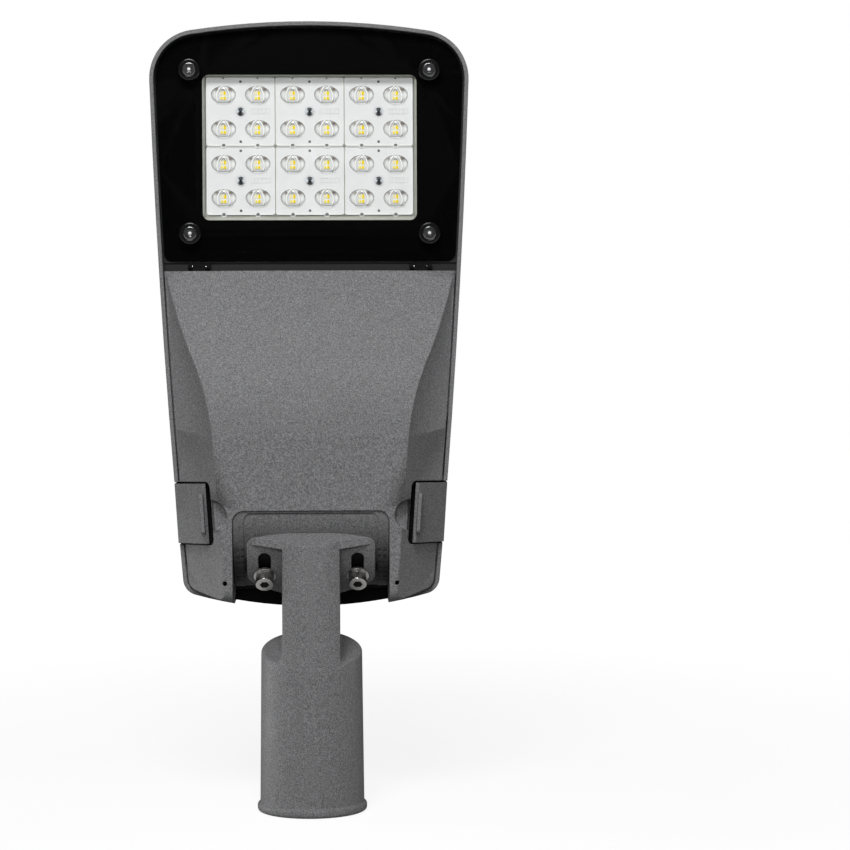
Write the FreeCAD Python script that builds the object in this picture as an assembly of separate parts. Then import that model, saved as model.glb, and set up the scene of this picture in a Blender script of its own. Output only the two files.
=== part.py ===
import FreeCAD, Part
import math
import os

# LED street light head standing on its pole socket.
# Origin at the centre of the socket's mouth, +Z up the pole, light given out towards -Y, millimetres.

os.makedirs("parts", exist_ok=True)

V = FreeCAD.Vector

# Pole socket and arm
SOCKET_RADIUS = 31.5
SOCKET_DEPTH = 100.0
TUBE_MOUTH_RADIUS = 37.4
TUBE_TOP_RADIUS = 36.0
RIM_RADIUS = 39.3
RIM_HEIGHT = 6.5
RIM_ROUNDING = 2.4
SHOULDER_FRONT_Z = 106.0
SHOULDER_BACK_Z = 126.0
SHOULDER_ROUNDING = 2.5
ARM_HALF_WIDTH = 20.5
ARM_BACK_Y = 18.6
ARM_ROUNDING = 2.0
ARM_FOOT_ROUNDING = 5.0
ARM_WALL = 6.0
ARM_DUCT_HALF_WIDTH = 11.0

# Pole clamp
CLAMP_SCREW_HEIGHTS = (84.0, 38.0)
CLAMP_PAD_HALF_WIDTH = 11.0
CLAMP_PAD_FACE_Y = 38.5
CLAMP_SCREW_TIP_Y = 32.6
CLAMP_NUT_HEIGHT = 6.8
CLAMP_HEAD_Y = 49.0
THREAD_CLEARANCE = 0.05

# Screw sizes, all plain metric
M8_RADIUS = 4.0
M8_HEAD_RADIUS = 6.5
M8_HEAD_HEIGHT = 8.0
M8_SOCKET_FLATS = 6.0
M8_NUT_FLATS = 13.0
M8_WASHER_RADIUS = 8.0
M8_WASHER_THICKNESS = 1.6
HEAD_EDGE = 0.6

# Tilt joint: a drum on the head turned about an axis along X, and a curved flange on the arm
TILT_Y = 30.5
TILT_Z = 210.0
DRUM_RADIUS = 51.0
DRUM_WALL = 5.0
DRUM_SIDE_GAP = 0.4
DRUM_CHEEK = 3.0
DRUM_TOP_Z = 216.0
TILT_GAP = 0.3
SCALE_RISE = 1.0
SCALE_INNER_X = 47.5
SCALE_TOP_Z = 214.7
SCALE_CORNER = 5.0
SCALE_LOW_ANGLE = 76.0
FLANGE_RADIUS = 57.0
FLANGE_HALF_WIDTH = 45.5
FLANGE_LOW_ANGLE = 80.0
FLANGE_TOP_ANGLE = 12.0
FLANGE_CORNER = 6.0
TILT_SWEEP = 15.0
BOLT_X = 33.0
BOLT_ANGLE = 44.0
SLOT_WIDTH = 9.0
BOLT_BOSS_RADIUS = 8.0
BOLT_BOSS_DEPTH = 15.0
ROOF_FRONT_Z = 192.0
ROOF_SLOPE = 28.0
ROOF_THICKNESS = 6.0
ROOF_TIP_Y = -23.0
UNDER_DRUM_RADIUS = 57.8
EAR_TOP_Z = 196.6
EAR_TOP_RISE = 4.4
EAR_LOW_Z = 166.5
EAR_SLANT_X = 38.0
EAR_SLANT_Z = 161.5
EAR_ARM_Z = 154.0
DUCT_TOP_Z = 178.0

# Head outline, seen from the front
HEAD_TOP_Z = 566.5
HEAD_TOP_ARC_RADIUS = 570.0
HEAD_HALF_WIDTH = 115.8
HEAD_CORNER_Z = HEAD_TOP_Z - HEAD_HALF_WIDTH ** 2 / (2 * HEAD_TOP_ARC_RADIUS)
HEAD_LOW_Z = 155.9
HEAD_LOW_HALF_WIDTH = 92.0
WAIST_SHARE_UP = 0.468
WAIST_SHARE_OUT = 0.5935
HEAD_MID_Z = HEAD_LOW_Z + WAIST_SHARE_UP * (HEAD_CORNER_Z - HEAD_LOW_Z)
HEAD_MID_HALF_WIDTH = HEAD_LOW_HALF_WIDTH + WAIST_SHARE_OUT * (HEAD_HALF_WIDTH - HEAD_LOW_HALF_WIDTH)
HEAD_BOTTOM_Z = 142.0
HEAD_TOP_CORNER = 35.0
HEAD_LOW_CORNER = 12.0

# Head depth, seen from the side
RIM_Y = 17.0
BACK_TOP_Y = 43.2
BACK_LED_Y = 45.3
BACK_GEAR_Y = 50.5
BACK_ROUNDING = 4.0
HOUSING_WALL = 2.8

# Light unit
LED_CENTRE_Z = HEAD_TOP_Z - 88.5
MODULE_PITCH = 50.0
MODULE_COLUMNS = (-1, 0, 1)
MODULE_ROWS = (0.5, -0.5)
LED_PITCH = 24.7
GLASS_FRONT_Y = 20.0
GLASS_THICKNESS = 4.0
GLASS_INSET = 3.3
GLASS_LOW_Z = LED_CENTRE_Z - 84.5
GLASS_LOW_CORNER = 6.0
MASK_THICKNESS = 1.0
MASK_INSET = 4.0
WINDOW_HALF_WIDTH = 77.4
WINDOW_TOP = 51.0
WINDOW_BOTTOM = -53.9
WINDOW_CORNER = 5.0
GASKET_THICKNESS = 2.5
LEDGE_INSET = 13.0
LEDGE_LOW_Z = GLASS_LOW_Z + 9.5
RECESS_LOW_Z = GLASS_LOW_Z - 7.0
BACK_LED_Z = GLASS_LOW_Z - 1.5
LED_POCKET_Y = 40.0
PAD_Y = 35.1
PAD_HALF_WIDTH = 79.0
PAD_TOP = 54.0
PAD_BOTTOM = -58.0
BOARD_THICKNESS = 1.6
BOARD_HALF_WIDTH = 76.0
BOARD_TOP = 51.5
PACKAGE_SIZE = 5.0
PACKAGE_HEIGHT = 0.7
LENS_PLATE_SIZE = 49.0
LENS_PLATE_THICKNESS = 2.0
LENS_LENGTH = 18.0
LENS_WIDTH = 12.7
LENS_HEIGHT = 4.6
LENS_POCKET = 6.0
LENS_POCKET_DEPTH = 1.4
TRAY_FLANGE_HALF_WIDTH = 83.0
TRAY_FLANGE_TOP = 56.0
TRAY_FLANGE_BOTTOM = -59.0
TRAY_SHEET = 1.2
TRAY_MOUTH_MARGIN = 0.8
TRAY_FLOOR_HALF_WIDTH = 75.2
TRAY_FLOOR_HALF_HEIGHT = 50.2
TRAY_RIB = 0.7
GLASS_SCREW_X = 86.3
GLASS_SCREW_HEIGHTS = (LED_CENTRE_Z + 53.9, LED_CENTRE_Z - 63.7)
GLASS_POST_RADIUS = 7.0
GROMMET_CAP_RADIUS = 8.0
GROMMET_NECK_RADIUS = 5.0
GROMMET_PROUD = 4.0
M5_RADIUS = 2.5
GLASS_SCREW_HEAD_RADIUS = 4.85
GLASS_SCREW_HEAD_HEIGHT = 3.4
GLASS_SCREW_SEAT_Y = GLASS_FRONT_Y - 0.8
MODULE_SCREW_HEAD_RADIUS = 3.15
MODULE_SCREW_HEAD_HEIGHT = 2.0
MODULE_SCREW_HEAD_ROUNDING = 1.2
MODULE_SCREW_RADIUS = 1.5

# Gear bay and its cover
BAY_LEDGE_Y = 22.0
BAY_FLOOR_Y = 47.0
BAY_STEP_Y = 41.8
BAY_INSET = 6.5
COVER_TOP_Z = RECESS_LOW_Z + 0.4
COVER_TOP_RISE = 0.5
COVER_SEAM = 1.3
COVER_EDGE_Y = 20.0
COVER_TOP_Y = 15.0
COVER_FRONT_Y = -23.0
COVER_TURN_Y = -5.0
COVER_WALL = 2.5
COVER_SIDE_ANGLE = 35.5
COVER_LOW_ROUNDING = 8.0
CUTOUT_HALF_WIDTH = 55.6
CUTOUT_TOP_Z = 216.4
CUTOUT_CORNER = 8.0
DRUM_HALF_WIDTH = CUTOUT_HALF_WIDTH - DRUM_SIDE_GAP
COVER_RUN = COVER_TOP_Z - CUTOUT_TOP_Z
COVER_TURN_Z = CUTOUT_TOP_Z + 0.666 * COVER_RUN
COVER_FLAT_Z = CUTOUT_TOP_Z + 0.303 * COVER_RUN
COVER_UPPER_BULGE = 1.6
COVER_LOWER_BULGE = 4.9
BACK_GEAR_Z = CUTOUT_TOP_Z + 0.561 * COVER_RUN
BAY_STEP_Z = BACK_GEAR_Z - 13.0
BAY_TOP_Z = COVER_TOP_Z - COVER_WALL
COVER_HOLE_X = 61.0
COVER_HOLE_Z = 165.0
COVER_HOLE_RADIUS = 1.65
COVER_HINGE_Y = 22.5
COVER_HINGE_Z = GLASS_LOW_Z - 3.3
HINGE_X = 80.0
HINGE_KNUCKLE_RADIUS = 2.9
HINGE_KNUCKLE_LENGTH = 9.2
HINGE_EAR_THICKNESS = 3.0
HINGE_SIDE_GAP = 0.4
HINGE_PIN_RADIUS = 1.5

# Side latches
LATCH_LOW_Z = 191.2
LATCH_LENGTH = 42.8
LATCH_TOP_Z = LATCH_LOW_Z + LATCH_LENGTH
LATCH_MIDDLE_Z = LATCH_LOW_Z + LATCH_LENGTH / 2
LATCH_TAPER = 3.6
LATCH_PROUD = 0.3
LATCH_RISE = (LATCH_MIDDLE_Z - HEAD_LOW_Z) / (HEAD_CORNER_Z - HEAD_LOW_Z)
SIDE_BULGE = (WAIST_SHARE_OUT - WAIST_SHARE_UP) / (WAIST_SHARE_UP * (1 - WAIST_SHARE_UP))
LATCH_SHARE_OUT = LATCH_RISE + SIDE_BULGE * LATCH_RISE * (1 - LATCH_RISE)
LATCH_SIDE_X = HEAD_LOW_HALF_WIDTH + LATCH_SHARE_OUT * (HEAD_HALF_WIDTH - HEAD_LOW_HALF_WIDTH) + LATCH_PROUD
LATCH_BEND = (LATCH_SIDE_X, 15.0)
LATCH_TIP = (LATCH_SIDE_X - 21.6, -14.1)
LATCH_SHEET = 2.6
LATCH_PIVOT = (LATCH_SIDE_X - 2.2, 46.6)
LATCH_BARREL_RADIUS = 2.2
LATCH_PIN_RADIUS = 1.1
LATCH_PIN_OVERHANG = 4.0
LATCH_NOTCH_RADIUS = 4.5
LATCH_BLOCK_X = LATCH_SIDE_X - 11.3
LATCH_BLOCK_Y = 38.0
LATCH_BLOCK_MARGIN = 10.0
LATCH_TAB_TOP_Y = -22.4
LATCH_TAB_LOW_Z = LATCH_LOW_Z + 7.3
LATCH_TAB_TOP_Z = LATCH_TOP_Z - 6.5
LATCH_TAB_THICKNESS = 2.5
LATCH_TAB_CORNER = 3.0
LATCH_BEND_ROUNDING = 2.0
LATCH_SLOT_WIDTH = 2.2
LATCH_GAP = 1.2
LATCH_EDGE_GAP = 4.6
LATCH_CHANNEL_REACH = 5.0
LATCH_CHANNEL_DEPTH = 6.0
LATCH_POCKET_CORNER = 5.0
LATCH_RELIEF = 2.5
SCOOP_X = LATCH_TIP[0] - 5.2
SCOOP_RADIUS = 11.0
SCOOP_FLOOR_Y = -15.0

# Gear inside the bay
DRIVER_HALF_WIDTH = 70.0
DRIVER_LOW_Z = BAY_STEP_Z + 4.0
DRIVER_TOP_Z = BAY_TOP_Z - 20.0
DRIVER_FRONT_Y = 16.0
DRIVER_ROUNDING = 1.5
DRIVER_TAB = 9.0
DRIVER_TAB_HALF_HEIGHT = 10.0
DRIVER_TAB_THICKNESS = 2.5
M4_RADIUS = 2.0
DRIVER_SCREW_HEAD_RADIUS = 3.6
DRIVER_SCREW_HEAD_HEIGHT = 2.4
TERMINAL_BLOCK = (-58.0, -22.0, 26.0, DRIVER_LOW_Z - 45.0, DRIVER_LOW_Z - 23.0)
TERMINAL_HOLE_RADIUS = 2.6
TERMINAL_HOLE_DEPTH = 6.0
SURGE_BLOCK = (18.0, 62.0, 20.0, CUTOUT_TOP_Z + 23.6, DRIVER_LOW_Z - 17.0)
SURGE_ROUNDING = 2.0
LEAD_RADIUS = 1.2
MAINS_LEAD_Y = 36.0
LED_LEAD_X = (-5.0, -1.6)
LED_LEAD_BACK_Y = 37.6
LED_LEAD_FRONT_Y = 31.6
LED_LEAD_BEND = 3.0
LEAD_GROMMET_RADIUS = 6.0
CONNECTOR_SIZE = (12.0, 4.0, 3.4)
MAINS_LEAD_X = (-54.0, -46.0, -38.0)
GLAND_HOLE_RADIUS = 8.0
GLAND_BOSS_RADIUS = 13.0
GLAND_NUT_FLATS = 22.0
GLAND_NUT_HEIGHT = 6.0
GLAND_DOME_RADIUS = 9.5
GLAND_DOME_HEIGHT = 10.0
GLAND_CABLE_RADIUS = 5.0
GLAND_SEAT_RADIUS = DRUM_RADIUS - 11.0

BEYOND = 400.0


def box(x_low, x_high, y_low, y_high, z_low, z_high):
    """Block between six plane positions."""
    return Part.makeBox(x_high - x_low, y_high - y_low, z_high - z_low, V(x_low, y_low, z_low))


def rod(radius, start, end):
    """Round rod from one point to another."""
    return Part.makeCylinder(radius, (end - start).Length, start, end - start)


def x_rod(radius, y, z, half_width):
    """Round rod along X, centred on the plane x = 0."""
    return rod(radius, V(-half_width, y, z), V(half_width, y, z))


def across(profile_edges, half_width):
    """Solid made by drawing a closed side profile across the width."""
    face = Part.Face(Part.Wire(profile_edges))
    face.translate(V(-half_width, 0, 0))
    return face.extrude(V(2 * half_width, 0, 0))


def polygon(points):
    """Closed face through the points."""
    return Part.Face(Part.makePolygon(list(points) + [points[0]]))


def mirrored(shape):
    """The same shape on the other side of the plane x = 0."""
    return shape.mirror(V(0, 0, 0), V(1, 0, 0))


def both_sides(shape):
    """A shape and its mirror image, as separate solids."""
    return Part.makeCompound([shape, mirrored(shape)])


def hexagon_bar(flats, start, end):
    """Hexagonal bar from one point to another."""
    direction = end - start
    corner = flats / math.sqrt(3)
    points = []
    for step in range(6):
        turn = math.radians(60 * step)
        points.append(V(corner * math.cos(turn), corner * math.sin(turn), 0))
    bar = polygon(points).extrude(V(0, 0, direction.Length))
    bar.Placement = FreeCAD.Placement(start, FreeCAD.Rotation(V(0, 0, 1), direction))
    return bar


def on_drum(radius, angle, x=0.0):
    """Point at a radius from the tilt axis, at an angle below straight forwards."""
    turn = math.radians(angle)
    return V(x, TILT_Y - radius * math.cos(turn), TILT_Z - radius * math.sin(turn))


def rounded_at(shape, radius, wanted):
    """Round the edges that the test picks out."""
    return shape.makeFillet(radius, [edge for edge in shape.Edges if wanted(edge)])


def save(shape, name):
    """Write one piece to its own file."""
    shape.exportStep("parts/" + name + ".step")


def meeting_point(first_centre, first_radius, second_centre, second_radius, upper):
    """Upper or lower point where two circles in a plane y = constant cross."""
    between = second_centre - first_centre
    distance = between.Length
    along = (first_radius ** 2 - second_radius ** 2 + distance ** 2) / (2 * distance)
    aside = math.sqrt(first_radius ** 2 - along ** 2)
    unit = between / distance
    middle = first_centre + unit * along
    offset = V(-unit.z, 0, unit.x) * aside
    pick = max if upper else min
    return pick([middle + offset, middle - offset], key=lambda point: point.z)


def head_outline(inset):
    """Front outline of the head drawn in by an inset: four long arcs with rounded corners."""
    top_point = V(0, 0, HEAD_TOP_Z)
    low_point = V(0, 0, HEAD_BOTTOM_Z)
    side = Part.Arc(V(HEAD_HALF_WIDTH, 0, HEAD_CORNER_Z), V(HEAD_MID_HALF_WIDTH, 0, HEAD_MID_Z),
                    V(HEAD_LOW_HALF_WIDTH, 0, HEAD_LOW_Z)).toShape().Curve
    low = Part.Arc(V(HEAD_LOW_HALF_WIDTH, 0, HEAD_LOW_Z), low_point,
                   V(-HEAD_LOW_HALF_WIDTH, 0, HEAD_LOW_Z)).toShape().Curve
    top_centre = top_point - V(0, 0, HEAD_TOP_ARC_RADIUS)

    def corner(centre, radius, rounding, upper):
        rounding = max(rounding, inset + 1)
        middle = meeting_point(side.Center, side.Radius - rounding, centre, radius - rounding, upper)
        from_side = (middle - side.Center).normalize()
        from_end = (middle - centre).normalize()
        outward = (from_side + from_end).normalize()
        return (side.Center + from_side * (side.Radius - inset), middle + outward * (rounding - inset),
                centre + from_end * (radius - inset))

    low_side, low_round, low_end = corner(low.Center, low.Radius, HEAD_LOW_CORNER, False)
    top_side, top_round, top_end = corner(top_centre, HEAD_TOP_ARC_RADIUS, HEAD_TOP_CORNER, True)
    side_middle = side.Center + ((low_side + top_side) / 2 - side.Center).normalize() * (side.Radius - inset)

    def arc(start, middle, end):
        return Part.Arc(start, middle, end).toShape()

    right = [arc(low_end, low_round, low_side), arc(low_side, side_middle, top_side),
             arc(top_side, top_round, top_end)]
    left = [mirrored(edge) for edge in right]
    across_top = arc(top_end, top_point - V(0, 0, inset), V(-top_end.x, 0, top_end.z))
    across_low = arc(V(-low_end.x, 0, low_end.z), low_point + V(0, 0, inset), low_end)
    return Part.Face(Part.Wire(right + [across_top] + left[::-1] + [across_low]))


def outline_block(inset, y_low, y_high, z_low=-BEYOND, z_high=2 * BEYOND):
    """Head outline drawn in by an inset and extruded between two depths, cut to a height range."""
    face = head_outline(inset)
    block = face.extrude(V(0, y_high - y_low, 0))
    block.translate(V(0, y_low, 0))
    return block.common(box(-BEYOND, BEYOND, y_low, y_high, z_low, z_high))


def back_profile():
    """Side view of the whole housing: straight behind the light, stepped back behind the gear."""
    half_rise = (BACK_LED_Z - BACK_GEAR_Z) / 2
    half_step = (BACK_GEAR_Y - BACK_LED_Y) / 2
    bend_radius = (half_rise ** 2 + half_step ** 2) / (2 * half_step)
    bend_depth = bend_radius - math.sqrt(bend_radius ** 2 - (half_rise / 2) ** 2)
    upper = V(0, BACK_LED_Y, BACK_LED_Z)
    middle = V(0, BACK_LED_Y + half_step, BACK_LED_Z - half_rise)
    lower = V(0, BACK_GEAR_Y, BACK_GEAR_Z)
    upper_bend = V(0, upper.y + bend_depth, upper.z - half_rise / 2)
    lower_bend = V(0, lower.y - bend_depth, lower.z + half_rise / 2)
    top_back = V(0, BACK_TOP_Y, HEAD_TOP_Z + 1)
    top_front = V(0, RIM_Y, HEAD_TOP_Z + 1)
    low_front = V(0, RIM_Y, HEAD_BOTTOM_Z - 1)
    low_back = V(0, BACK_GEAR_Y, HEAD_BOTTOM_Z - 1)
    return [
        Part.makeLine(top_front, top_back),
        Part.makeLine(top_back, upper),
        Part.Arc(upper, upper_bend, middle).toShape(),
        Part.Arc(middle, lower_bend, lower).toShape(),
        Part.makeLine(lower, low_back),
        Part.makeLine(low_back, low_front),
        Part.makeLine(low_front, top_front),
    ]


def cover_profile(inset, back_y):
    """Side view of the cover: sloping out from the light, then flat, drawn in by an inset."""
    lean = math.atan2(COVER_TOP_Y - COVER_TURN_Y, COVER_TOP_Z - COVER_TURN_Z)
    top = V(0, COVER_TOP_Y + inset / math.cos(lean), COVER_TOP_Z + COVER_TOP_RISE)
    turn = V(0, COVER_TURN_Y + inset, COVER_TURN_Z - inset * math.tan(lean / 2))
    flat = V(0, COVER_FRONT_Y + inset, COVER_FLAT_Z)
    low = V(0, COVER_FRONT_Y + inset, HEAD_BOTTOM_Z - 1)
    upper_middle = V(0, (top.y + turn.y) / 2 + COVER_UPPER_BULGE, (top.z + turn.z) / 2)
    lower_middle = V(0, flat.y + COVER_LOWER_BULGE, (turn.z + flat.z) / 2)
    return [
        Part.Arc(top, upper_middle, turn).toShape(),
        Part.Arc(turn, lower_middle, flat).toShape(),
        Part.makeLine(flat, low),
        Part.makeLine(low, V(0, back_y, low.z)),
        Part.makeLine(V(0, back_y, low.z), V(0, back_y, top.z)),
        Part.makeLine(V(0, back_y, top.z), top),
    ]


def cover_body(inset, back_y):
    """Solid cover without its openings, drawn in by an inset on every outer face."""
    edge = HOUSING_WALL + COVER_SEAM + inset
    skirt_y = COVER_TOP_Y
    lean = math.tan(math.radians(COVER_SIDE_ANGLE))
    side_inset = edge + inset / math.cos(math.radians(COVER_SIDE_ANGLE)) - inset
    front_y = COVER_FRONT_Y - 2
    base = outline_block(edge, skirt_y, back_y)
    shrink = (skirt_y - front_y) * lean
    half_base_top = HEAD_HALF_WIDTH - side_inset
    half_base_low = HEAD_LOW_HALF_WIDTH - side_inset
    rise = (HEAD_HALF_WIDTH - HEAD_LOW_HALF_WIDTH) / (HEAD_CORNER_Z - HEAD_LOW_Z)
    bulge = HEAD_MID_HALF_WIDTH - (half_base_top + half_base_low) / 2 - side_inset
    low_z = HEAD_BOTTOM_Z - 20
    top_z = COVER_TOP_Z + 20

    def side_wire(y, drawn_in):
        def half(z):
            along = (z - HEAD_LOW_Z) / (HEAD_CORNER_Z - HEAD_LOW_Z)
            return half_base_low + rise * (z - HEAD_LOW_Z) + 4 * bulge * along * (1 - along) - drawn_in

        middle_z = (low_z + top_z) / 2
        corner = [V(half(low_z), y, low_z), V(half(middle_z), y, middle_z), V(half(top_z), y, top_z)]
        other = [V(-point.x, point.y, point.z) for point in corner]
        return Part.Wire([
            Part.Arc(*corner).toShape(),
            Part.makeLine(corner[2], other[2]),
            Part.Arc(*reversed(other)).toShape(),
            Part.makeLine(other[0], corner[0]),
        ])

    wedge = Part.makeLoft([side_wire(skirt_y, 0.0), side_wire(front_y, shrink)], True, True)
    lower = outline_block(edge, front_y, skirt_y)
    shape = wedge.common(lower).fuse(base)
    shape = shape.common(across(cover_profile(inset, back_y), BEYOND))
    solid = shape.cut(above_cover(COVER_TOP_Z - inset)).removeSplitter().Solids[0]

    def low_front(edge):
        reach = edge.BoundBox
        at_front = abs(reach.YMax - COVER_FRONT_Y - inset) < 0.05
        return at_front and reach.ZMax < COVER_HOLE_Z and reach.XLength > CUTOUT_HALF_WIDTH / 2

    return rounded_at(solid, COVER_LOW_ROUNDING - inset, low_front)


def above_cover(corner_z):
    """Everything above the cover's arched top edge."""
    half = HEAD_HALF_WIDTH
    left = V(-half, -BEYOND, corner_z)
    right = V(half, -BEYOND, corner_z)
    middle = V(0, -BEYOND, corner_z + COVER_TOP_RISE)
    left_high = V(-half, -BEYOND, corner_z + BEYOND)
    right_high = V(half, -BEYOND, corner_z + BEYOND)
    outline = Part.Wire([
        Part.Arc(left, middle, right).toShape(),
        Part.makeLine(right, right_high),
        Part.makeLine(right_high, left_high),
        Part.makeLine(left_high, left),
    ])
    return Part.Face(outline).extrude(V(0, 2 * BEYOND, 0))


def scoop(radius, floor_y):
    """Round finger hollow beside a latch."""
    middle_z = (LATCH_TAB_LOW_Z + LATCH_TAB_TOP_Z) / 2
    return rod(radius, V(SCOOP_X, COVER_FRONT_Y - 5, middle_z), V(SCOOP_X, floor_y, middle_z))


def cutout(margin, back_y):
    """Space in the cover for the tilt joint, widened by a margin."""
    half = CUTOUT_HALF_WIDTH + margin
    top = CUTOUT_TOP_Z + margin
    block = box(-half, half, COVER_FRONT_Y - 5, back_y, HEAD_BOTTOM_Z - 5, top)

    def top_corner(edge):
        centre = edge.CenterOfMass
        return abs(abs(centre.x) - half) < 0.1 and abs(centre.z - top) < 0.1

    return rounded_at(block, CUTOUT_CORNER + margin, top_corner)


def latch_lines():
    """Directions along and out of the latch's front plate, in plan."""
    run_x = LATCH_BEND[0] - LATCH_TIP[0]
    run_y = LATCH_BEND[1] - LATCH_TIP[1]
    length = math.hypot(run_x, run_y)
    along = V(run_x / length, run_y / length, 0)
    outward = V(along.y, -along.x, 0)
    return along, outward


def tapered(shape):
    """Lean a latch shape to follow the head's narrowing side."""
    leaned = shape.copy()
    leaned.rotate(V(LATCH_SIDE_X, 0, LATCH_MIDDLE_Z), V(0, 1, 0), LATCH_TAPER)
    return leaned


def latch_pocket(depth, margin):
    """Hollow in the cover under the latch's front plate, with a deep channel at its inner edge."""
    along, outward = latch_lines()
    clear = 12.0
    tip = V(*LATCH_TIP, 0)
    wall = tip - along * (LATCH_EDGE_GAP + margin)
    channel = tip + along * (LATCH_CHANNEL_REACH + margin)
    rim = V(*LATCH_BEND, 0) + along * clear
    deepest = depth + LATCH_CHANNEL_DEPTH
    low_z = LATCH_LOW_Z - LATCH_GAP - margin
    height = LATCH_LENGTH + 2 * (LATCH_GAP + margin)
    points = [
        wall + outward * clear,
        wall - outward * deepest,
        channel - outward * deepest,
        channel - outward * depth,
        rim - outward * (depth + LATCH_RELIEF),
        rim + outward * clear,
    ]
    block = polygon([V(p.x, p.y, low_z) for p in points]).extrude(V(0, 0, height))
    wall_middle = (points[0] + points[1]) / 2

    def wall_end(edge):
        centre = edge.CenterOfMass
        return edge.BoundBox.ZLength < 0.01 and (V(centre.x, centre.y, 0) - wall_middle).Length < 0.1

    return tapered(rounded_at(block, LATCH_POCKET_CORNER + margin, wall_end))


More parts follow.
